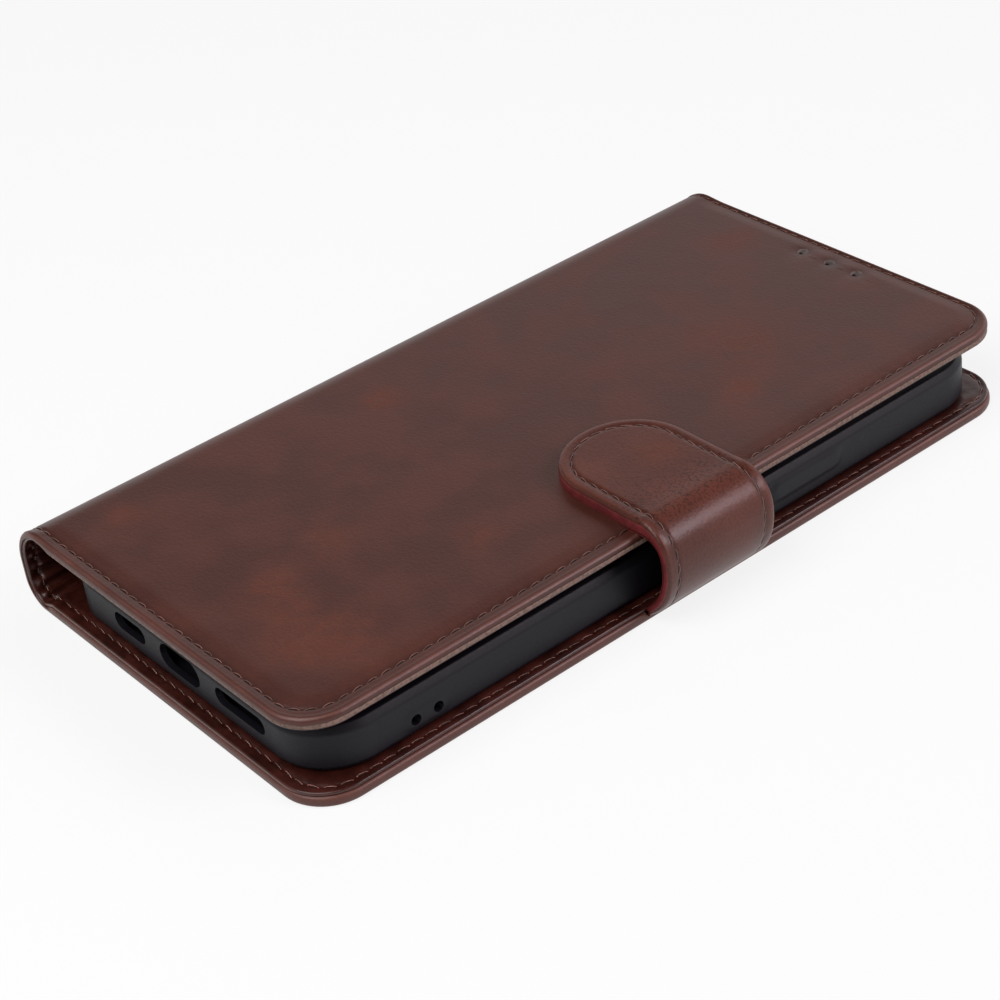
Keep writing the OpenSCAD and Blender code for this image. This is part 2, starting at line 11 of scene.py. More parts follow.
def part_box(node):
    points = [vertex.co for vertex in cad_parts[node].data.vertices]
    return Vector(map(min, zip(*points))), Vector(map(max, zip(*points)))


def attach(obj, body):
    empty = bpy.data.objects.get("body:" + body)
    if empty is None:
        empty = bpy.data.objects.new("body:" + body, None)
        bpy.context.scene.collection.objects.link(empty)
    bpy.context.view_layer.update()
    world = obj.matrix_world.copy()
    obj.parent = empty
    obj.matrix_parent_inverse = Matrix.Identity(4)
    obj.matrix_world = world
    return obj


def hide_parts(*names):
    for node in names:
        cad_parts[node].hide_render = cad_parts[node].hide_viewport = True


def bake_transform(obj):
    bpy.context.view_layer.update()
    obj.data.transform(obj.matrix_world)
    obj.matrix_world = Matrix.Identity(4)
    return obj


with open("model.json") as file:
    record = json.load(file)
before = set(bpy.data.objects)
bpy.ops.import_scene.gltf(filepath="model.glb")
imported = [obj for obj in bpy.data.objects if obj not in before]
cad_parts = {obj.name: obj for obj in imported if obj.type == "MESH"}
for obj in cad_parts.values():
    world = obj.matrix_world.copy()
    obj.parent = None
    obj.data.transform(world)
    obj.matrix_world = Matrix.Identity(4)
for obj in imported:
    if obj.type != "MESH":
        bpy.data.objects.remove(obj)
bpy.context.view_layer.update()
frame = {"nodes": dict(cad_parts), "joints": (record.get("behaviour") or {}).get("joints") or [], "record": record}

bl_info = {
    "name": "Phone Wallet Case",
    "version": (1, 0, 0),
    "blender": (4, 5, 0),
    "location": "3D View > Sidebar > Wallet Case",
    "description": "Stitched leather, moulded tray and strap of a folding phone wallet case",
    "category": "Object",
}

MM = 0.001


# ---- Colours, boxes and small sums ----


def linear(hex_code):
    """The linear colour, with alpha, of an sRGB hex code."""
    parts = [int(hex_code[i : i + 2], 16) / 255 for i in (1, 3, 5)]
    return (*[p / 12.92 if p <= 0.04045 else ((p + 0.055) / 1.055) ** 2.4 for p in parts], 1.0)


def mm_box(node):
    """A frame node's lowest and highest corners, in millimetres."""
    low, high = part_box(node)
    return low / MM, high / MM


def hinge(name):
    """A joint's place in the X-Z plane, in millimetres."""
    x, _, z = next(j["pos_m"] for j in frame["joints"] if j["name"] == name)
    return Vector((x, z)) / MM


def ease(low, high, value):
    """0 at low, 1 at high, and smooth between them."""
    share = min(1.0, max(0.0, (value - low) / (high - low)))
    return share * share * (3 - 2 * share)


def bump(middle, width, value):
    """1 at the middle, fading over the width."""
    return math.exp(-(((value - middle) / width) ** 2))


def rounding(edge, radius):
    """How far a rounded edge has fallen away, at a distance from the edge."""
    if edge >= radius:
        return 0.0
    return radius - math.sqrt(max(0.0, radius**2 - (radius - edge) ** 2))


class Path:
    """A line in the X-Z plane drawn by straight runs and turns, and read by the distance along it."""

    def __init__(self, x, z, heading, inner=1):
        self.runs = []
        self.end = (x, z, math.radians(heading))
        self.length = 0.0
        self.inner = inner

    def add(self, length, curvature):
        """Adds a run of one curvature."""
        self.runs.append((self.length, length, *self.end, curvature))
        self.end = self.reach(self.runs[-1], length)
        self.length += length
        return self

    def straight(self, length):
        """Adds a straight run."""
        return self.add(length, 0.0)

    def turn(self, radius, degrees):
        """Adds an arc, to the left where degrees is positive."""
        return self.add(radius * math.radians(abs(degrees)), math.copysign(1 / radius, degrees))

    @staticmethod
    def reach(run, along):
        """The place and heading at a distance along a run."""
        _, _, x, z, heading, curvature = run
        if not curvature:
            return x + along * math.cos(heading), z + along * math.sin(heading), heading
        turned = heading + curvature * along
        return (
            x + (math.sin(turned) - math.sin(heading)) / curvature,
            z - (math.cos(turned) - math.cos(heading)) / curvature,
            turned,
        )

    def at(self, distance, depth=0.0):
        """The point at a distance along the line, sunk by a depth towards the line's inner side."""
        if distance < 0:
            x, z, heading = self.reach((0, 0, *self.runs[0][2:5], 0.0), distance)
        elif distance > self.length:
            x, z, heading = self.reach((0, 0, *self.end, 0.0), distance - self.length)
        else:
            run = next(r for r in reversed(self.runs) if r[0] <= distance)
            x, z, heading = self.reach(run, distance - run[0])
        side = self.inner * depth
        return Vector((x + side * math.sin(heading), z - side * math.cos(heading)))


class Outline:
    """A rectangle with round corners on the flat leather, before it is bent."""

    def __init__(self, low, high, radius):
        self.centre = (Vector(low) + Vector(high)) / 2
        self.half = (Vector(high) - Vector(low)) / 2
        self.radius = radius
        self.straight = self.half - Vector((radius, radius))

    def corner(self, s, y):
        """The place measured from the centre of the nearest corner's arc."""
        return abs(s - self.centre.x) - self.straight.x, abs(y - self.centre.y) - self.straight.y

    def edge(self, s, y):
        """Distance inwards from the outline."""
        a, b = self.corner(s, y)
        if a > 0 and b > 0:
            return self.radius - math.hypot(a, b)
        return self.radius - max(a, b)

    def quarter(self, inset):
        """Length of a quarter of the line drawn inset from the outline."""
        return self.straight.y + (self.radius - inset) * math.pi / 2 + self.straight.x

    def along(self, s, y, inset):
        """Distance along that quarter line of the point nearest to a place."""
        a, b = self.corner(s, y)
        bend = self.radius - inset
        if a > 0 and b > 0:
            return self.straight.y + bend * math.atan2(b, a)
        if a > b:
            return self.straight.y + b
        return self.straight.y + bend * math.pi / 2 - a

    def at(self, distance, inset, side_s, side_y):
        """The point and heading at a distance along the quarter line on the given sides."""
        bend = self.radius - inset
        turned = (distance - self.straight.y) / bend
        if turned < 0:
            point, heading = Vector((self.half.x - inset, distance)), math.pi / 2
        elif turned < math.pi / 2:
            arc = Vector((bend * math.cos(turned), bend * math.sin(turned)))
            point, heading = self.straight + arc, turned + math.pi / 2
        else:
            rest = distance - self.straight.y - bend * math.pi / 2
            point, heading = Vector((self.straight.x - rest, self.half.y - inset)), math.pi
        flip = side_s * side_y
        facing = Vector((side_s * math.cos(heading), side_y * math.sin(heading))) * flip
        place = self.centre + Vector((side_s * point.x, side_y * point.y))
        return place, math.atan2(facing.y, facing.x)


# ---- Sizes that the frame gives, in millimetres ----

SKIN_T = mm_box("back_board")[0].z
BACK_RIM_T = mm_box("back_board")[1].z
BACK_T = mm_box("tray_adhesive")[0].z
LINING_T = BACK_T - BACK_RIM_T
PLY_T = SKIN_T + LINING_T
FRONT_TOP = mm_box("front_skin")[1].z
FRONT_RIM_T = FRONT_TOP - mm_box("front_board")[0].z
FRONT_T = FRONT_TOP - mm_box("cash_pocket")[1].z
EDGE_X = mm_box("front_skin")[1].x
HALF_L = mm_box("front_skin")[1].y
SPINE_X = mm_box("spine_upper_skin")[0].x
TRAY_LOW, TRAY_HIGH = mm_box("phone_tray")
STRAP_X = mm_box("strap_skin")[1].x
STRAP_TOP = mm_box("tab_skin")[1].z
STRAP_LOW_Y = mm_box("strap_skin")[0].y
STRAP_HIGH_Y = mm_box("strap_skin")[1].y
STRAP_W = STRAP_HIGH_Y - STRAP_LOW_Y
STRAP_T = STRAP_TOP - mm_box("tab_lining")[0].z
TAB_TIP_X = mm_box("tab_skin")[0].x


def roll_radius(joint):
    """Outer radius of a spine fold, whose hinge lies in mid-leather at 45 degrees."""
    half = math.sqrt(0.5)
    return (hinge(joint).x - SPINE_X - SKIN_T / 2 * half) / (1 - half)


LOW_R = roll_radius("lower_spine_fold")
HIGH_R = roll_radius("cover_fold")
BEND_R = (STRAP_X - hinge("tab_lift").x - SKIN_T / 2 * math.sqrt(0.5)) / (1 - math.sqrt(0.5))

# The leather's outer face, from the back cover's underside round the spine to the front cover's top
LEATHER = Path(SPINE_X + LOW_R, 0, 180)
LEATHER.turn(LOW_R, -90).straight(FRONT_TOP - LOW_R - HIGH_R).turn(HIGH_R, -90)
SPINE_END = LEATHER.length

# The back cover's edge stands a little further out than the front cover's, and its lining is cut back
TRIM = 0.3
BACK_END = -(EDGE_X + TRIM - SPINE_X - LOW_R)
FRONT_END = SPINE_END + EDGE_X - TRIM - SPINE_X - HIGH_R
COVER = Outline((BACK_END, -HALF_L), (FRONT_END, HALF_L), 9.5)
LINING = Outline((BACK_END + 0.5, 0.3 - HALF_L), (FRONT_END, HALF_L - 0.2), 9.3)
# The seam runs close to the edge at the head, and stands further in at the front cover's opening side
SEAM = Outline((BACK_END + 2.1, 2.5 - HALF_L), (FRONT_END - 3.1, HALF_L - 1.4), 7.2)
LOW_FOLD = LOW_R * math.pi / 4
MIDDLE_FOLD = LOW_R * math.pi / 2 + hinge("middle_spine_fold").y - LOW_R
HIGH_FOLD = SPINE_END - HIGH_R * math.pi / 4
LOW_JOIN = (LOW_FOLD + MIDDLE_FOLD) / 2
HIGH_JOIN = (MIDDLE_FOLD + HIGH_FOLD) / 2

# The strap's outer face, from between the back cover's plies round to the tip of the tab
ROOT_LEAN = 36.5
ROOT_R = 1.5
ROOT_RUN = 1.2
STRAP_RISE = 1.0
SWEEP_DEGREES = 90 - ROOT_LEAN


def strap_path():
    """The strap's line: flat between the plies, up the case's side and over on to the front cover."""
    sweep_top = STRAP_TOP - BEND_R - STRAP_RISE
    lift = sweep_top - SKIN_T - ROOT_R * (1 - math.cos(math.radians(ROOT_LEAN)))
    sweep_r = lift / math.sin(math.radians(SWEEP_DEGREES))
    out = ROOT_R * math.sin(math.radians(ROOT_LEAN))
    out += sweep_r * (1 - math.cos(math.radians(SWEEP_DEGREES)))
    path = Path(STRAP_X - out - ROOT_RUN, SKIN_T, 0, inner=-1)
    path.straight(ROOT_RUN).turn(ROOT_R, ROOT_LEAN).turn(sweep_r, SWEEP_DEGREES)
    return path.straight(STRAP_RISE).turn(BEND_R, 90)


STRAP_LINE = strap_path()
STRAP_FOLD = STRAP_LINE.length - BEND_R * math.pi / 4
STRAP_JOIN = STRAP_FOLD - BEND_R * math.pi / 4 - 8
STRAP_END = STRAP_LINE.length + STRAP_X - BEND_R - TAB_TIP_X
STRAP = Outline((-STRAP_END, STRAP_LOW_Y), (STRAP_END, STRAP_HIGH_Y), STRAP_W / 2)


# ---- Settings ----


def measure(name, about, default, low, high):
    """A size of the case, in millimetres."""
    about = f"{about}, in millimetres"
    return FloatProperty(name=name, description=about, default=default, min=low, max=high)


def angle(name, about, degrees):
    """An angle, which the panel shows in degrees."""
    return FloatProperty(name=name, description=about, subtype="ANGLE", default=math.radians(degrees))


def stage_value(name, about, default, unit="NONE"):
    """A place or a strength on the stage."""
    return FloatProperty(name=name, description=about, unit=unit, default=default)


def tint(name, about, hex_code):
    """A colour of the case."""
    code = linear(hex_code)
    return FloatVectorProperty(name=name, description=about, subtype="COLOR", size=4, default=code)


class WalletCover(bpy.types.PropertyGroup):
    edge_round: measure("Edge rounding", "Radius of the leather's turned edge", 0.75, 0.2, 0.9)
    groove: measure("Seam groove", "How deep the stitches pull the leather in", 0.3, 0, 0.5)
    padding: measure("Padding step", "How far the foam lifts the front above its rim", 0.32, 0, 0.8)
    lip: measure("Raw lip", "How far the lining's cut edge climbs the front's side", 0.7, 0, 0.9)
    wrinkle: measure("Lining wrinkles", "Height of the lining's folds in the spine", 0.45, 0, 0.8)
    bend: measure("Fold half width", "Leather on each side of a fold that bends", 2.5, 1, 3)


class WalletThread(bpy.types.PropertyGroup):
    pitch: measure("Stitch pitch", "Length of leather to each stitch", 2.9, 2, 4)
    length: measure("Stitch length", "Length of thread that shows", 2.5, 1.5, 3)
    width: measure("Thread width", "Width of the thread", 0.27, 0.2, 0.9)
    height: measure("Thread height", "Height of the thread", 0.32, 0.2, 0.7)
    droop: measure("Stitch droop", "How far its ends dip", 0.12, 0, 0.6)
    slant: angle("Stitch slant", "Turn of each stitch from the seam's line", 8)
    bow: measure("Stitch bow", "How far its middle bows inwards", 0.2, 0, 0.6)
    slit: measure("Needle slit", "Length of the slit beside it", 1.8, 0.5, 2)


class WalletStrap(bpy.types.PropertyGroup):
    seam_in: measure("Seam inset", "Distance from the strap's edge to its stitches", 2.4, 2, 3.5)
    edge_round: measure("Edge rounding", "Radius of the strap's painted edge", 0.85, 0.2, 0.85)


class WalletFinish(bpy.types.PropertyGroup):
    leather: tint("Leather", "Colour of the outer leather", "#54291f")
    patch: tint("Pulled-up leather", "Colour where the wax has lightened", "#68321f")
    # Rubbed edges, lighter partly from burnishing and partly as a painted highlight on their ridge
    worn: tint("Burnished edge", "Colour of the rubbed edges", "#8a5c52")
    lining: tint("Lining", "Colour of the glazed lining", "#3c1811")
    raw_edge: tint("Raw edge", "Colour of the lining's cut edge", "#957a6e")
    paint: tint("Edge paint", "Colour of the strap's painted edge", "#7e2e30")
    # Both thread colours are lighter than the thread itself, partly as a painted highlight of its glints, more so
    # on the lining's side
    thread: tint("Thread", "Colour of the outer stitches", "#96604f")
    inner_thread: tint("Inner thread", "Colour of the lining's stitches", "#b87e6f")
    tray: tint("Tray", "Colour of the moulded tray", "#141219")


class WalletStage(bpy.types.PropertyGroup):
    azimuth: angle("Azimuth", "Where the camera stands round the case", 54.28)
    elevation: angle("Elevation", "Angle of the camera above the table", 33.61)
    roll: angle("Roll", "Tilt of the camera", -7.55)
    distance: stage_value("Distance", "Camera to its target", 0.4666, "LENGTH")
    target_x: stage_value("Target X", "Target across the case", -0.00656, "LENGTH")
    target_y: stage_value("Target Y", "Target along the case", -0.00464, "LENGTH")
    lens: stage_value("Lens", "Focal length", 87.32, "CAMERA")
    daylight: stage_value("Daylight", "Strength of the light from beyond the head", 0.68)
    dusk: stage_value("Dusk", "Strength of the light from the rest of the sky", 0.12)
    fill: stage_value("Fill lamp", "Softbox at the foot", 4.0, "POWER")
    key: stage_value("Key lamp", "Softbox at the strap's side", 8.2, "POWER")


# ---- Making pieces ----

# Edges that turn by more than this, in degrees, are shaded sharp
SHARP = 40


def finish_piece(bm, name, materials, sharp=SHARP):
    """Turns a bmesh in millimetres into an object in metres."""
    bmesh.ops.recalc_face_normals(bm, faces=bm.faces)
    bmesh.ops.scale(bm, vec=(MM, MM, MM), verts=bm.verts)
    mesh = bpy.data.meshes.new(name)
    bm.to_mesh(mesh)
    bm.free()
    for material in materials:
        mesh.materials.append(material)
    mesh.shade_smooth()
    mesh.set_sharp_from_angle(angle=math.radians(sharp))
    piece = bpy.data.objects.new(name, mesh)
    bpy.context.scene.collection.objects.link(piece)
    return piece


def carve(piece, cutter_bm):
    """Cuts a closed bmesh in millimetres out of a piece."""
    cutter = finish_piece(cutter_bm, "cutter", [])
    cut = piece.modifiers.new("cut", "BOOLEAN")
    cut.operation = "DIFFERENCE"
    cut.solver = "EXACT"
    cut.object = cutter
    bpy.context.view_layer.update()
    made = bpy.data.meshes.new_from_object(piece.evaluated_get(bpy.context.evaluated_depsgraph_get()))
    piece.modifiers.clear()
    old, made.name = piece.data, piece.data.name
    piece.data = made
    bpy.data.meshes.remove(old)
    bpy.data.objects.remove(cutter)
    piece.data.shade_smooth()
    piece.data.set_sharp_from_angle(angle=math.radians(SHARP))
    return piece


def unique(elements):
    """Each element once, in the order given: a set of mesh elements has another order in each run."""
    return list(dict.fromkeys(elements))


def slice_at(bm, axis, places, near=None, reach=0.0):
    """Adds a line of edges across the mesh at each place on an axis, all over or only near a spot."""
    normal = Vector((axis == "X", axis == "Y", axis == "Z"))
    for place in places:
        faces = bm.faces[:]
        if near:
            faces = [f for f in faces if math.dist(f.calc_center_median().xy, near) < reach]
        edges = unique(e for f in faces for e in f.edges)
        verts = unique(v for f in faces for v in f.verts)
        bmesh.ops.bisect_plane(bm, geom=verts + edges + faces, plane_co=normal * place, plane_no=normal)


def steps(low, high, size):
    """Evenly spaced places between two ends, about size apart."""
    count = max(1, round((high - low) / size))
    return [low + (high - low) * (i + 0.5) / count for i in range(count)]


def round_corners(bm, geom, radius, segments, affect="EDGES"):
    """Rounds corners, or the upright edges of a block, to a radius."""
    bmesh.ops.bevel(
        bm, geom=geom, offset=radius, offset_type="OFFSET", segments=segments, profile=0.5,
        affect=affect, material=-1,
    )


def upright_edges(edges, height):
    """Those edges that run up the most of a height."""
    return [e for e in edges if abs(e.verts[0].co.z - e.verts[1].co.z) > height / 2]


def flat_sheet(outline, rings, point_gap):
    """A flat sheet in a bmesh, with rings of faces along its edge at the given insets."""
    bm = bmesh.new()
    bmesh.ops.create_grid(bm, x_segments=1, y_segments=1, size=1)
    bmesh.ops.scale(bm, vec=(*outline.half, 1), verts=bm.verts)
    round_corners(bm, bm.verts[:], outline.radius, 16, "VERTICES")
    bmesh.ops.remove_doubles(bm, verts=bm.verts, dist=1e-4)
    for edge in [e for e in bm.edges if e.calc_length() > 2 * point_gap]:
        bmesh.ops.subdivide_edges(bm, edges=[edge], cuts=round(edge.calc_length() / point_gap) - 1)
    bmesh.ops.translate(bm, vec=(*outline.centre, 0), verts=bm.verts)
    inner = bm.faces[:]
    last = 0.0
    for ring in rings:
        step = ring - last
        bmesh.ops.inset_region(bm, faces=inner, thickness=step, use_even_offset=True, use_boundary=True)
        last = ring
    return bm


def keep_between(bm, low, high):
    """Cuts away what lies outside a stretch of X."""
    for place, inner, outer in ((low, True, False), (high, False, True)):
        bmesh.ops.bisect_plane(
            bm, geom=bm.verts[:] + bm.edges[:] + bm.faces[:], plane_co=(place, 0, 0), plane_no=(1, 0, 0),
            clear_inner=inner, clear_outer=outer,
        )


def make_ply(sheet, low, high, faces, place, marks, side=1):
    """Thickens a stretch of a flat sheet into a closed ply and bends it.

    faces gives the depths of its outer and inner faces at a spot on the flat sheet, and place puts a
    spot and a depth on the bent line. marks gives each spot's burnish with a painted highlight, its painted
    shade, and its flexing with painted shade, for the finish, and side is the cut edge's finish."""
    bm = sheet.copy()
    keep_between(bm, low, high)
    worn = bm.verts.layers.float.new("worn")
    pressed = bm.verts.layers.float.new("pressed")
    flexed = bm.verts.layers.float.new("flexed")
    made = set(bmesh.ops.extrude_face_region(bm, geom=bm.faces[:])["geom"])
    for face in bm.faces:
        levels = {v in made for v in face.verts}
        rim = [v for v in face.verts if abs(v.co.x - low) > 1e-4 and abs(v.co.x - high) > 1e-4]
        face.material_index = side if len(levels) == 2 and rim else 0
    for v in bm.verts:
        s, y = v.co.x, v.co.y
        outer, inner = faces(s, y)
        v[worn], v[pressed], v[flexed] = marks(s, y)
        v.co = place(s, y, inner if v in made else outer)
    return bm


THREAD_RINGS, SLIT_RINGS = 6, 4
SLIT_WIDTH, SLIT_DEPTH = 0.55, 0.25
# How far the slit lies to the side of its thread, and how much less the thread bows on the lining's side
SLIT_ASIDE = 0.1
LINING_BOW = 0.15
# How far a stitch's middle stands off the face that it is laid on
THREAD_PROUD = 0.02


def stitch_shape():
    """One stitch of unit size along X: the thread, and a flat near-black lens beside it, laid on the
    leather as the painted shade of the slit that it opens.
    """
    bm = bmesh.new()
    for slit, rings in enumerate((THREAD_RINGS, SLIT_RINGS)):
        made = bmesh.ops.create_uvsphere(
            bm, u_segments=6, v_segments=rings, radius=0.5, matrix=Matrix.Rotation(math.pi / 2, 4, "Y")
        )
        for face in unique(f for v in made["verts"] for f in v.link_faces):
            face.material_index = slit
    return bm


def lay_stitch(bm, point, heading, place, depth, out):
    """Bends a stitch between its needle holes, bowed inwards over its slit, and lays it on the leather."""
    thread = bpy.context.scene.wallet_thread
    turn = heading + thread.slant
    bow = thread.bow * (LINING_BOW if out > 0 else 1)
    for face in bm.faces:
        slit = face.material_index
        for v in face.verts:
            if v.tag:
                continue
            v.tag = True
            end = (2 * v.co.x) ** 2
            if slit:
                x, across = v.co.x * thread.slit, v.co.y * SLIT_WIDTH + SLIT_ASIDE * (0.4 - end)
                up = v.co.z * SLIT_DEPTH
            else:
                x, across = v.co.x * thread.length, v.co.y * thread.width + bow * (0.5 - end)
                up = v.co.z * thread.height - thread.droop * end
            s = point.x + x * math.cos(turn) - across * math.sin(turn)
            y = point.y + x * math.sin(turn) + across * math.cos(turn)
            v.co = place(s, y, depth + out * up)


def sew(bm, outline, inset, keep, place, depth, out):
    """Lays the stitches of a seam where keep allows. out is 1 where the thread shows on the deeper side."""
    thread = bpy.context.scene.wallet_thread
    quarter = outline.quarter(inset)
    count = round(quarter / thread.pitch)
    shape = stitch_shape()
    sewn = bpy.data.meshes.new("stitch")
    for side_s, side_y in ((1, 1), (-1, 1), (-1, -1), (1, -1)):
        for i in range(count):
            point, heading = outline.at((i + 0.5) * quarter / count, inset, side_s, side_y)
            if keep(point):
                stitch = shape.copy()
                lay_stitch(stitch, point, heading, place, depth(point), out)
                stitch.to_mesh(sewn)
                stitch.free()
                bm.from_mesh(sewn)
    shape.free()
    bpy.data.meshes.remove(sewn)


def seam_groove(outline, inset, depth, width, s, y):
    """How deep a seam pulls the leather in, deepest at its needle holes."""
    thread = bpy.context.scene.wallet_thread
    quarter = outline.quarter(inset)
    pitch = quarter / round(quarter / thread.pitch)
    between = 0.5 - 0.5 * math.cos(2 * math.pi * outline.along(s, y, inset) / pitch)
    return depth * bump(inset, width, outline.edge(s, y)) * (1 - 0.45 * between)


def flat_place(x, y, z):
    """A spot of a piece that lies flat."""
    return Vector((x, y, z))


def add_bar(bm, radius, depth, matrix, segments=32):
    """A round bar along the matrix's Z, closed at both ends."""
    bmesh.ops.create_cone(
        bm, cap_ends=True, segments=segments, radius1=radius, radius2=radius, depth=depth, matrix=matrix
    )


def bent(piece, path, middle, half):
    """Bakes a piece's placement into its mesh. The ends of its fold along the path are worked out, but
    not used.
    """
    start, end = [(p.x * MM, 0, p.y * MM) for p in (path.at(middle - half), path.at(middle + half))]
    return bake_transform(piece)


# ---- Materials ----

COORDS = "ShaderNodeTexCoord"
MAPPING = "ShaderNodeMapping"
NOISE = "ShaderNodeTexNoise"
CELLS = "ShaderNodeTexVoronoi"
MARK = "ShaderNodeAttribute"
RANGE = "ShaderNodeMapRange"
MATHS = "ShaderNodeMath"
MIX = "ShaderNodeMix"
BUMP = "ShaderNodeBump"
VECTORS = "ShaderNodeVectorMath"
SHADER = "ShaderNodeBsdfPrincipled"
OUTPUT = "ShaderNodeOutputMaterial"
SMOOTH = {"interpolation_type": "SMOOTHSTEP"}
COLOURS = {"data_type": "RGBA"}
ADD = {"operation": "ADD"}
ADD_CLAMPED = {"operation": "ADD", "use_clamp": True}
TIMES = {"operation": "MULTIPLY"}
TIMES_ADD = {"operation": "MULTIPLY_ADD"}
TIMES_ADD_CLAMPED = {"operation": "MULTIPLY_ADD", "use_clamp": True}

# A Mix node's sockets for colours
SHARE, UNDER, OVER, MIXED = 0, 6, 7, 2


def add_node(tree, kind, inputs=None, fields=None):
    """Adds a node with its fields, sets or links its sockets, and gives back its outputs."""
    made = tree.nodes.new(kind)
    for name, value in (fields or {}).items():
        setattr(made, name, value)
    for socket, value in (inputs or {}).items():
        if isinstance(value, bpy.types.NodeSocket):
            tree.links.new(value, made.inputs[socket])
        else:
            made.inputs[socket].default_value = value
    return made.outputs


def new_material(name):
    """add_node for the empty tree of a new material, and the material's Object coordinates."""
    material = bpy.data.materials.new(name)
    material.use_nodes = True
    material.node_tree.nodes.clear()
    add = partial(add_node, material.node_tree)
    return add, add(COORDS)["Object"]


def per_mm(size):
    """Texture scale that gives features of a size in millimetres."""
    return 1 / (size * MM)


def scaled(colour, share):
    """A colour made darker or lighter by a share."""
    return (*[min(1.0, c * share) for c in colour[:3]], 1.0)


# Places where handling has pulled the wax up: where they are and how far they reach, in millimetres
RUBBED_COVER = (
    ((10, 45), 15),
    ((20, 33), 11),
    ((26, -66), 18),
    ((6, -64), 13),
    ((2, -50), 10),
    ((22, -31), 9),
    ((-28, -14), 9),
    ((-34, -70), 8),
    ((-20, 74), 8),
)
RUBBED_STRAP = (((30, 6), 10),)


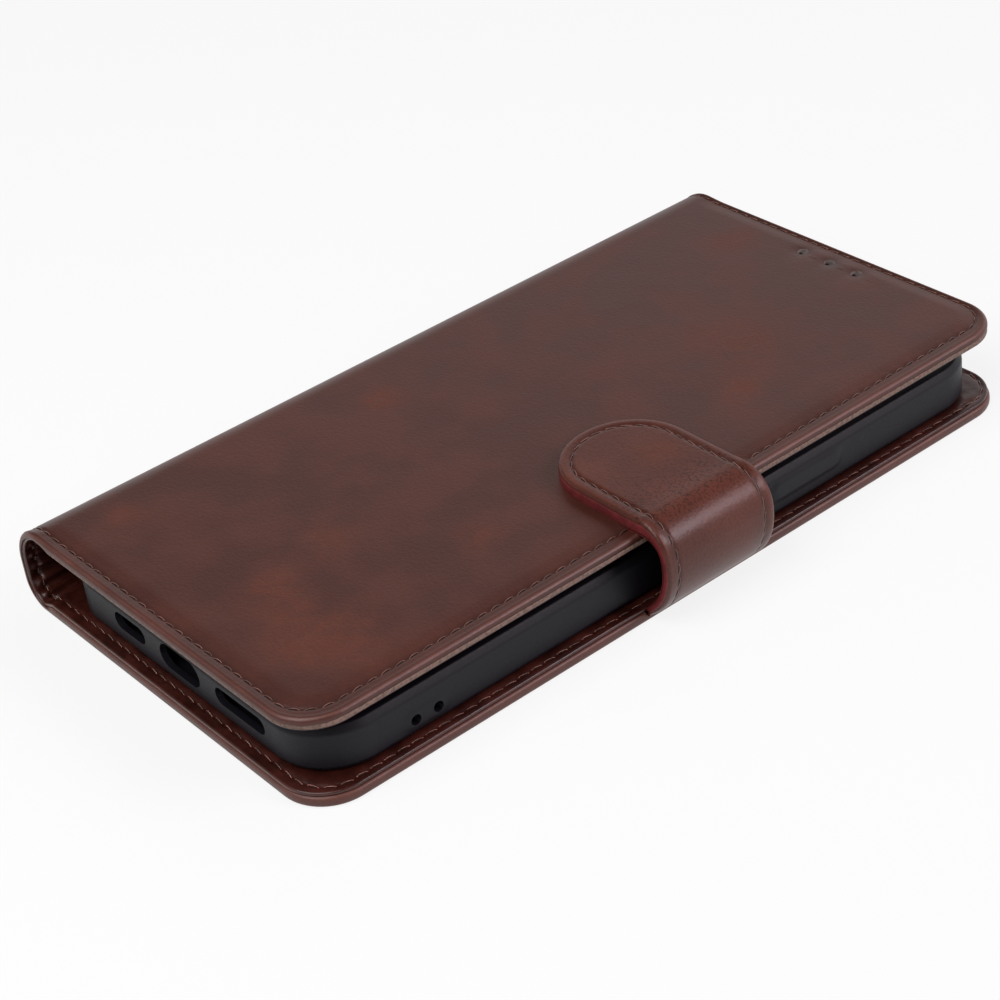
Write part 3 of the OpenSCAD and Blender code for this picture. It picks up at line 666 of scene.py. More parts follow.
def pull_up_leather(name, finish, spots, gloss=0.4, pores=0.2, tone=1.0, ior=1.5):
    """Waxed pull-up cowhide, drum dyed and plated smooth: a soft wax gloss over a cloudy red-brown, with
    warmer, duller veins where handling has moved the wax, and dark pores. Its marks add edges rubbed
    lighter with a painted highlight, painted shade in the seam, and denser pores as painted shade at a bend."""
    add, coords = new_material(name)
    black = scaled(finish.leather, 0.35)
    dark, light = scaled(finish.leather, 0.8 * tone), scaled(finish.leather, 1.05 * tone)
    clouds = add(NOISE, {"Vector": coords, "Scale": per_mm(13), "Detail": 5.0})["Fac"]
    shade = add(RANGE, {"Value": clouds, "From Min": 0.36, "From Max": 0.64}, SMOOTH)["Result"]
    base = add(MIX, {SHARE: shade, UNDER: dark, OVER: light}, COLOURS)[MIXED]

    # Soft spots that the clouds break up, and veins of pulled-up wax inside them
    rubbed = 0.0
    for place, size in spots:
        centre = (-place[0] / size, -place[1] / size, 0)
        flat = (per_mm(size), per_mm(size), 0)
        moved = add(MAPPING, {"Vector": coords, "Scale": flat, "Location": centre})[0]
        spot = add("ShaderNodeTexGradient", {"Vector": moved}, {"gradient_type": "SPHERICAL"})["Fac"]
        rubbed = add(MATHS, {0: rubbed, 1: spot}, ADD)[0]
    cloudy = add(MATHS, {0: rubbed, 1: clouds}, TIMES)[0]
    reach = {"From Min": 0.1, "From Max": 0.45, "To Max": 0.4}
    patch = add(RANGE, {"Value": cloudy, **reach}, SMOOTH)["Result"]
    veins = 0.0
    for size, width in ((16, 0.055), (6, 0.035)):
        branching = {"Scale": per_mm(size), "Detail": 5.0, "Distortion": 0.9}
        branches = add(NOISE, {"Vector": coords, **branching})["Fac"]
        middle = add(MATHS, {0: branches, 1: 0.5}, {"operation": "SUBTRACT"})[0]
        middle = add(MATHS, {0: middle}, {"operation": "ABSOLUTE"})[0]
        fade = {"From Min": 0.0, "From Max": width, "To Min": 0.8, "To Max": 0.0}
        vein = add(RANGE, {"Value": middle, **fade}, SMOOTH)["Result"]
        veins = add(MATHS, {0: veins, 1: vein}, {"operation": "MAXIMUM"})[0]
    veins = add(MATHS, {0: veins, 1: patch}, TIMES)[0]
    warm = add(MATHS, {0: veins, 1: 0.9, 2: patch}, TIMES_ADD_CLAMPED)[0]
    base = add(MIX, {SHARE: warm, UNDER: base, OVER: tuple(finish.patch)}, COLOURS)[MIXED]

    # Pores all over, denser where the leather flexes; at the strap's bend this also paints shade
    grit = add(NOISE, {"Vector": coords, "Scale": per_mm(0.45), "Detail": 2.0})["Fac"]
    flexed = add(MARK, None, {"attribute_name": "flexed"})["Fac"]
    dense = add(MATHS, {0: flexed, 1: 0.65, 2: pores}, TIMES_ADD_CLAMPED)[0]
    speckle = {"Value": grit, "From Min": 0.46, "From Max": 0.68, "To Max": dense}
    speckle = add(RANGE, speckle, SMOOTH)["Result"]
    base = add(MIX, {SHARE: speckle, UNDER: base, OVER: black}, COLOURS)[MIXED]

    # Fine hairline creases in the rubbed places
    swirl = add(NOISE, {"Vector": coords, "Scale": per_mm(5), "Detail": 4.0})["Color"]
    wander = add(VECTORS, {0: swirl, 1: (8 * MM,) * 3, 2: coords}, TIMES_ADD)[0]
    edges = {"feature": "DISTANCE_TO_EDGE"}
    cells = add(CELLS, {"Vector": wander, "Scale": per_mm(4.5)}, edges)["Distance"]
    fade = {"From Max": 0.07, "To Min": 1.0, "To Max": 0.0}
    creases = add(RANGE, {"Value": cells, **fade}, SMOOTH)["Result"]
    lines = add(MATHS, {0: creases, 1: patch}, TIMES)[0]
    faint = add(MATHS, {0: lines, 1: 0.14}, TIMES)[0]
    base = add(MIX, {SHARE: faint, UNDER: base, OVER: tuple(finish.worn)}, COLOURS)[MIXED]

    # What each piece's own marks say: painted shade in the seam's groove and round the ear holes,
    # and edges rubbed light, with a painted highlight on their ridge
    pressed = add(MARK, None, {"attribute_name": "pressed"})["Fac"]
    pressed = add(MATHS, {0: pressed, 1: 0.6}, TIMES)[0]
    base = add(MIX, {SHARE: pressed, UNDER: base, OVER: black}, COLOURS)[MIXED]
    worn = add(MARK, None, {"attribute_name": "worn"})["Fac"]
    worn = add(MATHS, {0: worn, 1: 0.6}, TIMES)[0]
    base = add(MIX, {SHARE: worn, UNDER: base, OVER: tuple(finish.worn)}, COLOURS)[MIXED]

    lumps = add(NOISE, {"Vector": coords, "Scale": per_mm(14)})["Fac"]
    normal = add(BUMP, {"Height": lumps, "Distance": 0.1 * MM})[0]
    normal = add(BUMP, {"Height": lines, "Distance": -0.01 * MM, "Normal": normal})[0]
    pebbles = {"Vector": coords, "Scale": per_mm(0.7), "Smoothness": 0.6}
    pebbles = add(CELLS, pebbles, {"feature": "SMOOTH_F1"})
    normal = add(BUMP, {"Height": pebbles["Distance"], "Distance": -0.02 * MM, "Normal": normal})[0]
    normal = add(BUMP, {"Height": grit, "Distance": 0.02 * MM, "Normal": normal})[0]
    dull = add(MATHS, {0: warm, 1: 0.16, 2: gloss - 0.02}, TIMES_ADD)[0]
    rough = add(RANGE, {"Value": clouds, "From Min": 0.3, "From Max": 0.7, "To Max": 0.06})["Result"]
    rough = add(MATHS, {0: rough, 1: dull}, ADD)[0]
    surface = {"Base Color": base, "Roughness": rough, "Normal": normal, "IOR": ior}
    add(OUTPUT, {"Surface": add(SHADER, surface)[0]})


def glazed_lining(finish):
    """Thin glazed lining leather: a dark red-brown with a wet gloss that catches on each wrinkle."""
    add, coords = new_material("glazed_lining_leather")
    clouds = add(NOISE, {"Vector": coords, "Scale": per_mm(5), "Detail": 4.0})["Fac"]
    tone = add(RANGE, {"Value": clouds, "From Min": 0.35, "From Max": 0.7}, SMOOTH)["Result"]
    dark, light = scaled(finish.lining, 0.7), scaled(finish.lining, 1.5)
    base = add(MIX, {SHARE: tone, UNDER: dark, OVER: light}, COLOURS)[MIXED]
    # The lining's edge rubbed light, with a painted highlight on its ridge
    worn = add(MARK, None, {"attribute_name": "worn"})["Fac"]
    worn = add(MATHS, {0: worn, 1: 0.5}, TIMES)[0]
    base = add(MIX, {SHARE: worn, UNDER: base, OVER: tuple(finish.worn)}, COLOURS)[MIXED]
    puckers = {"Vector": coords, "Scale": per_mm(5), "Detail": 3.0, "Distortion": 0.8}
    normal = add(BUMP, {"Height": add(NOISE, puckers)["Fac"], "Distance": 0.13 * MM})[0]
    grain = add(NOISE, {"Vector": coords, "Scale": per_mm(0.9)})["Fac"]
    normal = add(BUMP, {"Height": grain, "Distance": 0.04 * MM, "Normal": normal})[0]
    gloss = {"From Min": 0.3, "From Max": 0.7, "To Min": 0.28, "To Max": 0.4}
    rough = add(RANGE, {"Value": clouds, **gloss})["Result"]
    glaze = {"IOR": 1.5, "Coat Weight": 0.15, "Coat Roughness": 0.15}
    surface = {"Base Color": base, "Roughness": rough, "Normal": normal, **glaze}
    add(OUTPUT, {"Surface": add(SHADER, surface)[0]})


def cut_edge(name, colour, roughness):
    """Cut edge of leather: fibrous and matt where it is raw, and smoother where a punch has pressed it."""
    add, coords = new_material(name)
    fibres = add(NOISE, {"Vector": coords, "Scale": per_mm(0.7), "Detail": 4.0})["Fac"]
    tone = add(RANGE, {"Value": fibres, "From Min": 0.3, "From Max": 0.65}, SMOOTH)["Result"]
    base = add(MIX, {SHARE: tone, UNDER: scaled(colour, 0.55), OVER: tuple(colour)}, COLOURS)[MIXED]
    normal = add(BUMP, {"Height": fibres, "Distance": 0.08 * MM})[0]
    surface = {"Base Color": base, "Normal": normal, "Roughness": roughness, "IOR": 1.45}
    add(OUTPUT, {"Surface": add(SHADER, surface)[0]})


def edge_paint(finish):
    """Acrylic edge paint, brushed on in several coats: smooth, rounded and softly glossy."""
    add, coords = new_material("acrylic_edge_paint")
    coats = add(NOISE, {"Vector": coords, "Scale": per_mm(2)})["Fac"]
    tone = add(RANGE, {"Value": coats, "From Min": 0.35, "From Max": 0.65}, SMOOTH)["Result"]
    dark, light = scaled(finish.paint, 0.7), tuple(finish.paint)
    base = add(MIX, {SHARE: tone, UNDER: dark, OVER: light}, COLOURS)[MIXED]
    normal = add(BUMP, {"Height": coats, "Distance": 0.04 * MM})[0]
    surface = {"Base Color": base, "Normal": normal, "Roughness": 0.42, "IOR": 1.5}
    add(OUTPUT, {"Surface": add(SHADER, surface)[0]})


def waxed_thread(name, colour):
    """Twisted polyester thread, waxed: two plies whose twist shows as slanting ribs with a dull shine."""
    add, coords = new_material(name)
    # A wave's bands are a twentieth of its scale apart
    ribs = {"Vector": coords, "Scale": per_mm(0.45) / 20, "Distortion": 0.6}
    twist = add("ShaderNodeTexWave", ribs, {"bands_direction": "DIAGONAL"})["Fac"]
    base = add(MIX, {SHARE: twist, UNDER: scaled(colour, 0.55), OVER: tuple(colour)}, COLOURS)[MIXED]
    normal = add(BUMP, {"Height": twist, "Distance": 0.05 * MM})[0]
    surface = {"Base Color": base, "Normal": normal, "Roughness": 0.34, "IOR": 1.5}
    add(OUTPUT, {"Surface": add(SHADER, surface)[0]})


def moulded_tray(finish):
    """Thermoplastic polyurethane, injection moulded against a fine spark-eroded face: satin charcoal."""
    add, coords = new_material("satin_moulded_tpu")
    flow = add(NOISE, {"Vector": coords, "Scale": per_mm(30)})["Fac"]
    dark, light = scaled(finish.tray, 0.8), scaled(finish.tray, 1.15)
    base = add(MIX, {SHARE: flow, UNDER: dark, OVER: light}, COLOURS)[MIXED]
    sparks = add(NOISE, {"Vector": coords, "Scale": per_mm(0.35)})["Fac"]
    normal = add(BUMP, {"Height": sparks, "Distance": 0.012 * MM})[0]
    satin = {"From Min": 0.3, "From Max": 0.7, "To Min": 0.44, "To Max": 0.54}
    rough = add(RANGE, {"Value": sparks, **satin})["Result"]
    tpu = {"IOR": 1.5, "Specular IOR Level": 0.28}
    surface = {"Base Color": base, "Roughness": rough, "Normal": normal, **tpu}
    add(OUTPUT, {"Surface": add(SHADER, surface)[0]})


def plain_stock(name, hex_code, size, roughness, metallic=0.0):
    """Stock that lies inside the covers: board, foam, adhesive film or plated steel, with its own grain,
    and the near-black painted shade of the needle slits.
    """
    add, coords = new_material(name)
    grain = add(NOISE, {"Vector": coords, "Scale": per_mm(size), "Detail": 3.0})["Fac"]
    dark, light = scaled(linear(hex_code), 0.65), linear(hex_code)
    base = add(MIX, {SHARE: grain, UNDER: dark, OVER: light}, COLOURS)[MIXED]
    normal = add(BUMP, {"Height": grain, "Distance": 0.03 * MM})[0]
    surface = {"Base Color": base, "Normal": normal, "Roughness": roughness, "Metallic": metallic}
    add(OUTPUT, {"Surface": add(SHADER, surface)[0]})


def finishes():
    """Every finish of the case, made once."""
    names = bpy.data.materials
    if "waxed_pull_up_leather" not in names:
        finish = bpy.context.scene.wallet_finish
        pull_up_leather("waxed_pull_up_leather", finish, RUBBED_COVER)
        pull_up_leather(
            "waxed_strap_leather", finish, RUBBED_STRAP, gloss=0.34, pores=0.25, tone=1.35, ior=1.42
        )
        glazed_lining(finish)
        cut_edge("raw_cut_edge", finish.raw_edge, 0.75)
        # The ear holes' walls: a light grey punched edge, partly a painted highlight of their lit far side
        cut_edge("punched_leather_edge", linear("#a0918c"), 0.4)
        edge_paint(finish)
        # Thread colours that partly paint the highlight of the waxed thread's glints
        waxed_thread("waxed_thread", finish.thread)
        waxed_thread("waxed_inner_thread", finish.inner_thread)
        # Near-black lenses beside the stitches: painted shade of the needle slits
        plain_stock("pierced_leather", "#120605", 0.5, 0.8)
        moulded_tray(finish)
        # Board and foam made dark partly to paint the shade deep inside the ear holes
        plain_stock("grey_fibre_board", "#3c3733", 1.5, 0.85)
        plain_stock("padding_foam", "#2c2b2b", 0.6, 0.9)
        plain_stock("adhesive_film", "#d8d2c4", 4, 0.35)
        plain_stock("nickel_plated_steel", "#9a9a9e", 2, 0.3, 1.0)
    return names


def sewing(thread):
    """The finishes of a seam: its thread, and the painted shade of the slits that it opens."""
    return [finishes()[thread], finishes()["pierced_leather"]]


# ---- Cover ----

# The holes over the phone's earpiece, on the flat leather
EAR_HOLE_R = 1.2
EAR_HOLES = [(SPINE_END + x - SPINE_X - HIGH_R, HALF_L - 5.6) for x in (-6.4, 1.0, 8.4)]


def on_cover(s, y, depth):
    """A spot on the cover's flat leather, bent round the spine."""
    point = LEATHER.at(s, depth)
    return Vector((point.x, y, point.y))


def cover_share(s):
    """How far a place on the line is past the spine's slopes: 0 on the spine and 1 on the covers."""
    ramp = 3.0
    return max(min(1.0, -s / ramp), min(1.0, (s - SPINE_END) / ramp), 0.0)


def in_strap_bay(s, y):
    """Whether the turned-in rim is left out there, for the sewn end of the strap."""
    bay = 15
    return s < COVER.centre.x - COVER.half.x + bay and STRAP_LOW_Y - 0.1 < y < STRAP_HIGH_Y + 0.1


def raw_lip(s, edge):
    """How far the lining's cut edge climbs the side of the front cover."""
    on_front = ease(SPINE_END, SPINE_END + 4, s)
    return bpy.context.scene.wallet_cover.lip * on_front * (1 - ease(0, LIP_W, edge))


def front_share(s):
    """How far a place is on the front cover: 0 on the spine and 1 on the cover."""
    return ease(SPINE_END - 2, SPINE_END + 5, s)


# Small forms of the leather, in millimetres: how wide, and how deep or high
LIP_W = 1.2
GROOVE_W = 0.42
PADDING_SLOPE = (0.2, 3.4)
BEAD_IN, BEAD_W, BEAD_H = 0.8, 0.5, 0.14
DISH_W, DISH_H = 2.1, 0.3
TURNED_IN_W = 5
THINNEST = 0.3
# How round the inner edges are: on the back cover, and how much less on the front cover
SKIN_INNER_ROUND = (0.75, 0.67)
LINING_OUTER_ROUND = (0.18, 0.14)


def skin_faces(s, y):
    """Depths of the outer leather's two faces."""
    look = bpy.context.scene.wallet_cover
    edge = COVER.edge(s, y)
    on_front = front_share(s)
    outer = rounding(edge, look.edge_round)
    outer += seam_groove(SEAM, 0, look.groove, GROOVE_W, s, y)
    outer += look.padding * on_front * (1 - ease(*PADDING_SLOPE, SEAM.edge(s, y)))
    outer -= BEAD_H * bump(BEAD_IN, BEAD_W, edge)
    for hole in EAR_HOLES:
        outer += DISH_H * bump(0, DISH_W, math.dist(hole, (s, y)))
    rim_t = FRONT_RIM_T if s > COVER.centre.x else BACK_RIM_T
    rim = edge < TURNED_IN_W and not in_strap_bay(s, y)
    inner = SKIN_T + (rim_t - SKIN_T) * (cover_share(s) if rim else 0)
    on_back, less = SKIN_INNER_ROUND
    inner -= rounding(edge, on_back - less * on_front) + raw_lip(s, edge)
    return outer, max(inner, outer + THINNEST)


def lining_depth(s):
    """Depth of the lining's visible face, before its wrinkles."""
    full = FRONT_T if s > COVER.centre.x else BACK_T
    return PLY_T + (full - PLY_T) * cover_share(s)


FOLD_PITCH, FOLD_WANDER = 3.1, 2.4
DEEPEST_FOLD = 0.35
LINING_ROUND = 0.35
LINING_GROOVE, LINING_GROOVE_W = 0.25, 0.4
LINING_LUMPS = 0.14


def wrinkle(s, y):
    """Height of the lining's folds where it is squeezed inside the spine."""
    look = bpy.context.scene.wallet_cover
    squeezed = ease(-4, 1, s) * (1 - ease(SPINE_END - 1, SPINE_END + 6, s))
    free = ease(0.6, 3, COVER.edge(s, y))
    # The folds run along the spine, so the noise that bends them is stretched along it
    wander = FOLD_WANDER * noise.noise((s * 0.12, y * 0.07, 3.0))
    folds = math.sin((s + wander) * 2 * math.pi / FOLD_PITCH)
    folds += 0.5 * noise.noise((s * 0.5, y * 0.22, 8.0))
    return look.wrinkle * squeezed * free * folds


def lining_faces(s, y):
    """Depths of the lining's two faces."""
    edge = LINING.edge(s, y)
    depth = lining_depth(s)
    inner = depth - rounding(edge, LINING_ROUND)
    inner -= seam_groove(SEAM, 0, LINING_GROOVE, LINING_GROOVE_W, s, y)
    inner += LINING_LUMPS * noise.noise((s * 0.45, y * 0.45, 1.0)) * ease(0.3, 1.5, edge)
    inner += max(-DEEPEST_FOLD, wrinkle(s, y))
    on_back, less = LINING_OUTER_ROUND
    outer = depth - LINING_T + rounding(edge, on_back - less * front_share(s)) - raw_lip(s, edge)
    return outer, inner


def cover_marks(s, y):
    """Burnish at the edges with a painted highlight on their ridge, and painted shade in the seam and round the
    ear holes.
    """
    patchy = 0.7 + 0.3 * noise.noise((s * 0.3, y * 0.3, 5.0))
    # Edges rubbed light, with a painted highlight on the rounded ridge
    worn = bump(0.22 + 0.2 * front_share(s), 0.2, COVER.edge(s, y)) * patchy
    # Painted shade in the dishes round the ear holes, and in the seam's groove
    holes = max(bump(0, 2.0, math.dist(hole, (s, y))) for hole in EAR_HOLES)
    return worn, max(bump(0, 0.55, SEAM.edge(s, y)), holes), 0.0


# Insets of the rings of faces along the cover's edge: its rounding, its seam and the padding's slope
EDGE_RINGS = (
    0.03, 0.1, 0.2, 0.35, 0.55, 0.8, 1.05, 1.3, 1.55, 1.8, 2.05,
    2.3, 2.55, 2.8, 3.05, 3.3, 3.55, 4.2, 4.95, 5.05, 5.7, 6.5,
)
COVER_POINT_GAP = 0.72
DISH_REACH = 2.6


def cover_sheet(outline):
    """The cover's leather, cut flat, with rows of faces close enough to bend round the spine."""
    sheet = flat_sheet(outline, EDGE_RINGS, COVER_POINT_GAP)
    low, high = outline.centre - outline.half, outline.centre + outline.half
    slice_at(sheet, "X", steps(-6, SPINE_END + 8, 0.6) + [LOW_JOIN, HIGH_JOIN])
    slice_at(sheet, "X", steps(low.x + 7, -6, 6) + steps(SPINE_END + 8, high.x - 7, 6))
    slice_at(sheet, "Y", steps(low.y + 7, high.y - 7, 3))
    for hole in EAR_HOLES:
        for axis, middle in zip("XY", hole):
            slice_at(sheet, axis, steps(middle - DISH_REACH, middle + DISH_REACH, 0.4), hole, 5)
    return sheet


# Past every end of the leather
BEYOND = 1000.0
SPINE_NODES = ("spine_lower", "spine_upper")
# Each stretch of the cover: its name, its ends, the bodies that it joins, its fold and its nodes' names
STRETCHES = (
    ("back_cover", -BEYOND, LOW_JOIN, "back_cover", "spine_lower", LOW_FOLD, ("back",)),
    ("spine", LOW_JOIN, HIGH_JOIN, "spine_lower", "spine_upper", MIDDLE_FOLD, SPINE_NODES),
    ("front_cover", HIGH_JOIN, BEYOND, "spine_upper", "front_cover", HIGH_FOLD, ("front",)),
)


def ear_cutter():
    """Three round bars through the front cover, over the phone's earpiece."""
    bm = bmesh.new()
    for s, y in EAR_HOLES:
        add_bar(bm, EAR_HOLE_R, 12, Matrix.Translation(on_cover(s, y, 0)))
    for face in bm.faces:
        face.material_index = 1
    return bm


WINDOW_HALF = Vector((19.5, 20.5))
WINDOW_R = 9
WINDOW_SEAM_OUT = 2.4


def window_outline():
    """The camera window's outline, from the frame's opening."""
    box = next(o for o in frame["record"]["physics"]["openings"] if o["name"] == "camera_window")["box_m"]
    centre = (Vector(box[0]) + Vector(box[1])) / 2 / MM
    return Outline(centre.xy - WINDOW_HALF, centre.xy + WINDOW_HALF, WINDOW_R)


def window_cutter():
    """A round-cornered block through the back cover and the tray's floor."""
    window = window_outline()
    bm = bmesh.new()
    bmesh.ops.create_cube(bm, size=2)
    bmesh.ops.scale(bm, vec=(*window.half, 4), verts=bm.verts)
    round_corners(bm, upright_edges(bm.edges, 8), window.radius, 16)
    bmesh.ops.translate(bm, vec=(*window.centre, 1.5), verts=bm.verts)
    return bm


def bend_cover(outline, kind, faces, finish, node):
    """Bends one layer of the cover round both covers and the spine, as a piece for each stretch."""
    sheet = cover_sheet(outline)
    for name, low, high, body_a, body_b, fold, nodes in STRETCHES:
        raw = outline is LINING and name != "back_cover"
        bm = make_ply(sheet, low, high, faces, on_cover, cover_marks, side=int(raw))
        cut = "raw_cut_edge" if outline is LINING else "punched_leather_edge"
        piece = finish_piece(bm, f"{name}_{kind}", [finishes()[finish], finishes()[cut]])
        if name == "front_cover":
            carve(piece, ear_cutter())
        if name == "back_cover":
            carve(piece, window_cutter())
        bent(piece, LEATHER, fold, bpy.context.scene.wallet_cover.bend)
        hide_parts(*[f"{n}_{node}" for n in nodes])
    sheet.free()


class MakeLeather(bpy.types.Operator):
    """Bends the outer leather round both covers and the spine"""

    bl_idname = "wallet.make_leather"
    bl_label = "Outer Leather"

    def execute(self, context):
        bend_cover(COVER, "leather", skin_faces, "waxed_pull_up_leather", "skin")
        return {"FINISHED"}


class MakeLining(bpy.types.Operator):
    """Lines both covers and the spine with glazed leather, wrinkled where the spine squeezes it"""

    bl_idname = "wallet.make_lining"
    bl_label = "Lining"

    def execute(self, context):
        finish = "glazed_lining_leather"
        bend_cover(LINING, "lining_leather", lining_faces, finish, "lining")
        return {"FINISHED"}


class MakeStitches(bpy.types.Operator):
    """Sews the cover's seam, thread by thread, on both its faces"""

    bl_idname = "wallet.make_stitches"
    bl_label = "Cover Stitches"

    def execute(self, context):
        look = context.scene.wallet_cover
        window = window_outline()
        for name, low, high, body_a, body_b, fold, nodes in STRETCHES:
            outer, inner = bmesh.new(), bmesh.new()

            def here(point, low=low, high=high):
                return low <= point.x < high

            def outer_depth(point):
                return skin_faces(point.x, point.y)[0] - THREAD_PROUD

            def inner_depth(point):
                return lining_faces(point.x, point.y)[1] + THREAD_PROUD

            sew(outer, SEAM, 0, here, on_cover, outer_depth, -1)
            sew(inner, SEAM, 0, here, on_cover, inner_depth, 1)
            if name == "back_cover":
                sew(outer, window, -WINDOW_SEAM_OUT, lambda p: True, flat_place, lambda p: 0.1, -1)
            seams = ((outer, "outer", "waxed_thread"), (inner, "inner", "waxed_inner_thread"))
            for bm, side, finish in seams:
                piece = finish_piece(bm, f"{name}_{side}_stitches", sewing(finish), sharp=180)
                bent(piece, LEATHER, fold, look.bend)
                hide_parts(*[n + "_stitching" for n in nodes])
        return {"FINISHED"}


# ---- Strap ----

# The strap's thickness at its root and on its side, as shares of the tab's, and how far its side bulges
ROOT_SHARE, SIDE_SHARE = 0.45, 0.58
SIDE_BULGE = 0.35


def on_strap(s, y, depth):
    """A spot on the strap's flat leather, bent along its line and skived thin at its root."""
    thin = ROOT_SHARE + (SIDE_SHARE - ROOT_SHARE) * ease(1, 6, s)
    thin += (1 - SIDE_SHARE) * ease(STRAP_FOLD - 3, STRAP_FOLD + 6, s)
    swell = SIDE_BULGE * ease(2, 9, s) * (1 - ease(STRAP_FOLD + 2, STRAP_FOLD + 9, s))
    point = STRAP_LINE.at(s, depth * thin - swell)
    return Vector((point.x, y, point.y))


STRAP_GROOVE_W = 0.4


def strap_skin_faces(s, y):
    """Depths of the strap leather's two faces."""
    look = bpy.context.scene.wallet_strap
    outer = rounding(STRAP.edge(s, y), look.edge_round)
    return outer + seam_groove(STRAP, look.seam_in, 0.25, STRAP_GROOVE_W, s, y), SKIN_T


def strap_core_faces(s, y):
    """Depths of the painted middle ply's two faces."""
    round_off = rounding(STRAP.edge(s, y), 0.3)
    return SKIN_T + round_off, STRAP_T - LINING_T - round_off


def strap_lining_faces(s, y):
    """Depths of the strap lining's two faces."""
    look = bpy.context.scene.wallet_strap
    inner = STRAP_T - rounding(STRAP.edge(s, y), 0.5)
    return STRAP_T - LINING_T, inner - seam_groove(STRAP, look.seam_in, 0.2, STRAP_GROOVE_W, s, y)


def strap_flex_and_shade(s):
    """How far the strap's leather is worked, for denser pores that also paint shade: most at its bend,
    and some on its side.
    """
    side = 0.15 * (1 - ease(STRAP_LINE.length - 5, STRAP_LINE.length + 1, s))
    return side + (1 - side) * bump(STRAP_LINE.length + 1.5, 6, s)


def strap_marks(s, y):
    """Burnish at the strap's edge, painted shade in its seam, and flexing, which also paints shade at the bend."""
    look = bpy.context.scene.wallet_strap
    edge = STRAP.edge(s, y)
    return 0.3 * bump(0.75, 0.25, edge), bump(look.seam_in, 0.5, edge), strap_flex_and_shade(s)


STRAP_RINGS = (0.04, 0.14, 0.3, 0.5, 0.72, 1.2, 1.8, 2.3, 2.55, 2.8, 3.05, 3.3, 3.7, 4.6)

# Each stretch of the strap: its name, its ends, the bodies that it joins, its fold, how far to each side
# the leather bends there, and the nodes' prefix
STRAP_STRETCHES = (
    ("strap_side", 0.0, STRAP_JOIN, "back_cover", "strap_side", 3.2, 2.2, "strap"),
    ("strap_tab", STRAP_JOIN, BEYOND, "strap_side", "strap_tab", STRAP_FOLD, 4.0, "tab"),
)

# Where the stitches come out from between the back cover's plies
FIRST_STITCH = 1.6

# Each ply of the strap: its name, its faces, its finish and its slot
STRAP_PLIES = (
    ("skin", "leather", strap_skin_faces, "waxed_strap_leather", "strap_leather"),
    ("core", "core_ply", strap_core_faces, "acrylic_edge_paint", "edge_painted_leather"),
    ("lining", "lining_leather", strap_lining_faces, "glazed_lining_leather", "lining_leather"),
)


class MakeStrap(bpy.types.Operator):
    """Lays up the strap's three plies, paints their edge and sews them"""

    bl_idname = "wallet.make_strap"
    bl_label = "Strap"

    def execute(self, context):
        look = context.scene.wallet_strap
        sheet = flat_sheet(STRAP, STRAP_RINGS, 0.7)
        slice_at(sheet, "X", steps(0, STRAP_LINE.length + 1, 0.7) + [STRAP_JOIN])
        slice_at(sheet, "X", steps(STRAP_LINE.length + 1, STRAP_END - 4, 3))
        paint = finishes()["acrylic_edge_paint"]
        for name, low, high, body_a, body_b, fold, half, node in STRAP_STRETCHES:
            for ply, kind, faces, finish, slot in STRAP_PLIES:
                bm = make_ply(sheet, low, high, faces, on_strap, strap_marks)
                piece = finish_piece(bm, f"{name}_{kind}", [finishes()[finish], paint])
                bent(piece, STRAP_LINE, fold, half)
                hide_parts(f"{node}_{ply}")
            bm = bmesh.new()

            def here(point, low=low, high=high):
                return max(low, FIRST_STITCH) <= point.x < high

            def outer_depth(point):
                return strap_skin_faces(*point)[0] - THREAD_PROUD

            def inner_depth(point):
                return strap_lining_faces(*point)[1] + THREAD_PROUD

            sew(bm, STRAP, look.seam_in, here, on_strap, outer_depth, -1)
            sew(bm, STRAP, look.seam_in, here, on_strap, inner_depth, 1)
            piece = finish_piece(bm, f"{name}_stitches", sewing("waxed_thread"), sharp=180)
            bent(piece, STRAP_LINE, fold, half)
            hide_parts(node + "_stitching")
        sheet.free()
        return {"FINISHED"}


# ---- Tray ----


def round_polyline(corners, parts=5):
    """A line through corners given as (inset, z, radius), with each corner turned into an arc."""
    line = []
    for i, (x, z, radius) in enumerate(corners):
        point = Vector((x, z))
        if not radius:
            line.append(point)
            continue
        before = (Vector(corners[i - 1][:2]) - point).normalized()
        after = (Vector(corners[i + 1][:2]) - point).normalized()
        half = before.angle(after) / 2
        centre = point + (before + after).normalized() * radius / math.sin(half)
        start = point + before * radius / math.tan(half) - centre
        sweep = start.angle_signed(point + after * radius / math.tan(half) - centre)
        for k in range(parts + 1):
            line.append(centre + Matrix.Rotation(-sweep * k / parts, 2) @ start)
    return line


def tray_loop(bm, inset, z, half, radius):
    """A round-cornered loop of the tray's outline, drawn in by inset."""
    segments = 64
    turn = Matrix.Rotation(math.pi / segments, 4, "Z")
    arc = radius - inset
    verts = bmesh.ops.create_circle(bm, cap_ends=False, segments=segments, radius=arc, matrix=turn)["verts"]
    for v in verts:
        v.co.x += math.copysign(half.x - radius, v.co.x)
        v.co.y += math.copysign(half.y - radius, v.co.y)
        v.co.z = z
    return unique(e for v in verts for e in v.link_edges)


def capsule_cutter(bm, centre, across, length, height, depth):
    """A block with round ends, through a wall that faces the given axis."""
    made = bmesh.ops.create_cube(bm, size=1)["verts"]
    bmesh.ops.scale(bm, vec=(length, height, depth), verts=made)
    before = set(bm.verts) - set(made)
    upright = upright_edges(unique(e for v in made for e in v.link_edges), depth)
    round_corners(bm, upright, height / 2 - 0.01, 10)
    verts = [v for v in bm.verts if v not in before]
    turn = Matrix.Rotation(math.pi / 2, 4, "X")
    if across == "X":
        turn = Matrix.Rotation(math.pi / 2, 4, "Z") @ turn
    bmesh.ops.transform(bm, matrix=Matrix.Translation(centre) @ turn, verts=verts)


